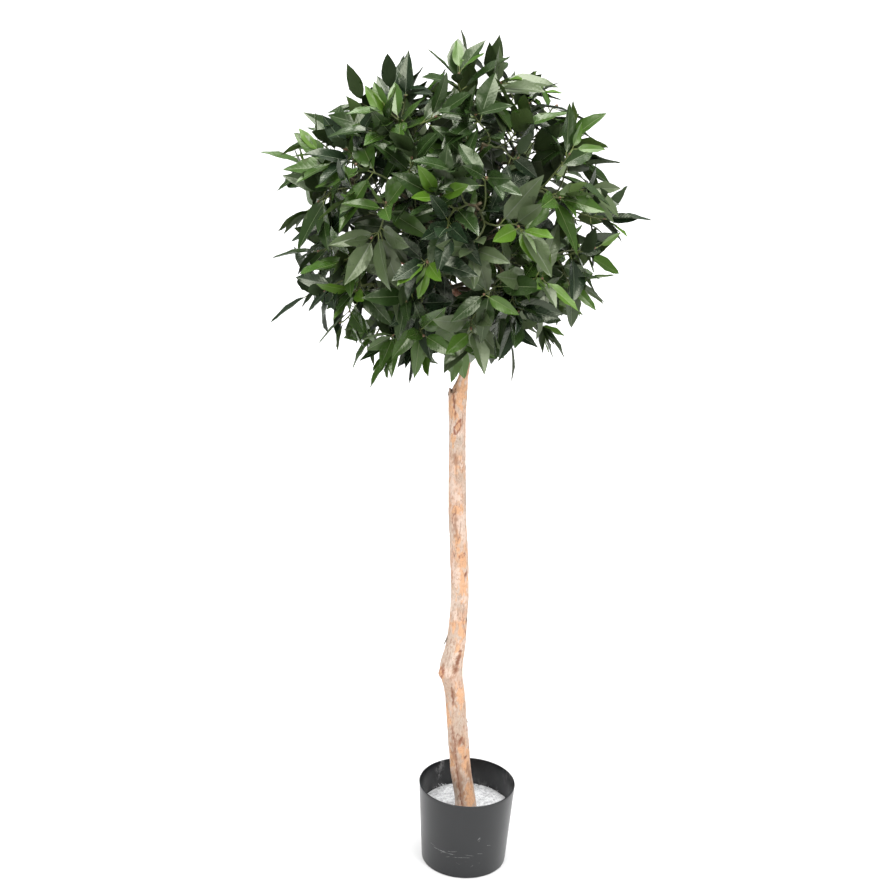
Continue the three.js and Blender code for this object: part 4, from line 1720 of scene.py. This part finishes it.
CAMERA_PLACE = (0, -2.75, 1.777)
CAMERA_YAW, CAMERA_PITCH, CAMERA_ROLL = -1.42, 19.48, 2.6
FOCAL_LENGTH = 69.34
SKY_LEAN = (0, 0, 0.42)
SUN_SPREAD = math.radians(60)
LAMPS = (("left lamp", (-1.6, -2.2, 2.6)), ("right lamp", (1.8, -2.0, 2.3)))
LAMP_AIM = (0, 0, 0.9)
LAMP_SIZE = (0.8, 1.4)
FLOOR_HALF = 40
FLOOR_LEVEL = -0.3 * MM


def add_camera(context):
    yaw, pitch, roll = (math.radians(a) for a in (CAMERA_YAW, CAMERA_PITCH, CAMERA_ROLL))
    ahead = Vector((
        math.sin(yaw) * math.cos(pitch), math.cos(yaw) * math.cos(pitch), -math.sin(pitch)
    ))
    right = Vector((math.cos(yaw), -math.sin(yaw), 0))
    above = right.cross(ahead)
    x_axis = right * math.cos(roll) + above * math.sin(roll)
    y_axis = above * math.cos(roll) - right * math.sin(roll)
    data = bpy.data.cameras.new("camera")
    data.sensor_width = 36
    data.lens = FOCAL_LENGTH
    camera = add_object("camera", data)
    turn = Matrix((x_axis, y_axis, -ahead)).transposed().to_4x4()
    camera.matrix_world = Matrix.Translation(CAMERA_PLACE) @ turn
    context.scene.camera = camera


def add_lamp(name, place, power):
    data = bpy.data.lights.new(name, "AREA")
    data.shape = "RECTANGLE"
    data.size, data.size_y = LAMP_SIZE
    data.energy = power
    lamp = add_object(name, data)
    ahead = Vector(LAMP_AIM) - Vector(place)
    lamp.matrix_world = Matrix.Translation(place) @ ahead.to_track_quat("-Z", "Y").to_matrix().to_4x4()


def light_surroundings(context, stage):
    """White all round for the eye; for the light, bright above and dim round the sides."""
    world = bpy.data.worlds.new("white studio")
    world.use_nodes = True
    wiring = Wiring(world.node_tree)
    way = wiring.add("ShaderNodeTexCoord").outputs["Generated"]
    lean = wiring.add("ShaderNodeVectorMath", {0: way, 1: SKY_LEAN}, operation="DOT_PRODUCT")
    values = {0: lean.outputs["Value"], 1: stage.sky}
    light = wiring.add("ShaderNodeMath", values, use_clamp=True)
    seen = wiring.add("ShaderNodeLightPath").outputs["Is Camera Ray"]
    strength = wiring.add("ShaderNodeMath", {0: light.outputs[0], 1: seen}, operation="MAXIMUM")
    sky = world.node_tree.nodes["Background"]
    wiring.feed(sky.inputs["Color"], (1, 1, 1, 1))
    wiring.feed(sky.inputs["Strength"], strength.outputs[0])
    context.scene.world = world

    data = bpy.data.lights.new("wide sun", "SUN")
    data.energy = stage.sun
    data.angle = SUN_SPREAD
    add_object("wide sun", data)


class OBJECT_OT_bay_stage(bpy.types.Operator):
    """Lays the pale floor and sets the camera, the soft lamps and the white surroundings."""

    bl_idname = "object.bay_stage"
    bl_label = "Stage"

    def execute(self, context):
        stage = settings(context).stage
        corners = [
            (x * FLOOR_HALF, y * FLOOR_HALF, FLOOR_LEVEL)
            for x, y in ((-1, -1), (1, -1), (1, 1), (-1, 1))
        ]
        mesh = new_mesh("floor", corners, [(0, 1, 2, 3)])
        finish = Finish("studio floor", 0.8)
        finish.set("Base Color", list(stage.floor))
        finish.bump(finish.noise(40, detail=2), 0.0002, 0.1)
        mesh.materials.append(finish.material)
        floor = add_object("floor", mesh)

        light_surroundings(context, stage)
        for name, place in LAMPS:
            add_lamp(name, place, stage.lamps)
        add_camera(context)
        context.scene.view_settings.view_transform = "Standard"
        return {"FINISHED"}


# ---------------------------------------------------------------- add-on

STEPS = (
    OBJECT_OT_bay_stage, OBJECT_OT_bay_pot, OBJECT_OT_bay_fill, OBJECT_OT_bay_trunk,
    OBJECT_OT_bay_limbs, OBJECT_OT_bay_leaves,
)


class BaySettings(bpy.types.PropertyGroup):
    pot: PointerProperty(type=BayPotSettings)
    trunk: PointerProperty(type=BayTrunkSettings)
    limbs: PointerProperty(type=BayLimbSettings)
    leaves: PointerProperty(type=BayLeafSettings)
    stage: PointerProperty(type=BayStageSettings)


class VIEW3D_PT_bay_standard(bpy.types.Panel):
    bl_idname = "VIEW3D_PT_bay_standard"
    bl_label = "Bay standard"
    bl_space_type = "VIEW_3D"
    bl_region_type = "UI"
    bl_category = "Bay standard"

    def draw(self, context):
        for step in STEPS:
            self.layout.operator(step.bl_idname)
        for group in ("pot", "trunk", "limbs", "leaves", "stage"):
            values = getattr(settings(context), group)
            box = self.layout.box()
            box.label(text=group.capitalize())
            for name in values.bl_rna.properties.keys():
                if name not in ("rna_type", "name"):
                    box.prop(values, name)


CLASSES = (
    BayPotSettings, BayTrunkSettings, BayLimbSettings, BayLeafSettings, BayStageSettings,
    BaySettings, *STEPS, VIEW3D_PT_bay_standard,
)


def register():
    for item in CLASSES:
        bpy.utils.register_class(item)
    bpy.types.Scene.bay_standard = PointerProperty(type=BaySettings)


def unregister():
    del bpy.types.Scene.bay_standard
    for item in reversed(CLASSES):
        bpy.utils.unregister_class(item)


def main():
    register()
    for step in STEPS:
        group, name = step.bl_idname.split(".")
        getattr(getattr(bpy.ops, group), name)()


if __name__ == "__main__":
    main()
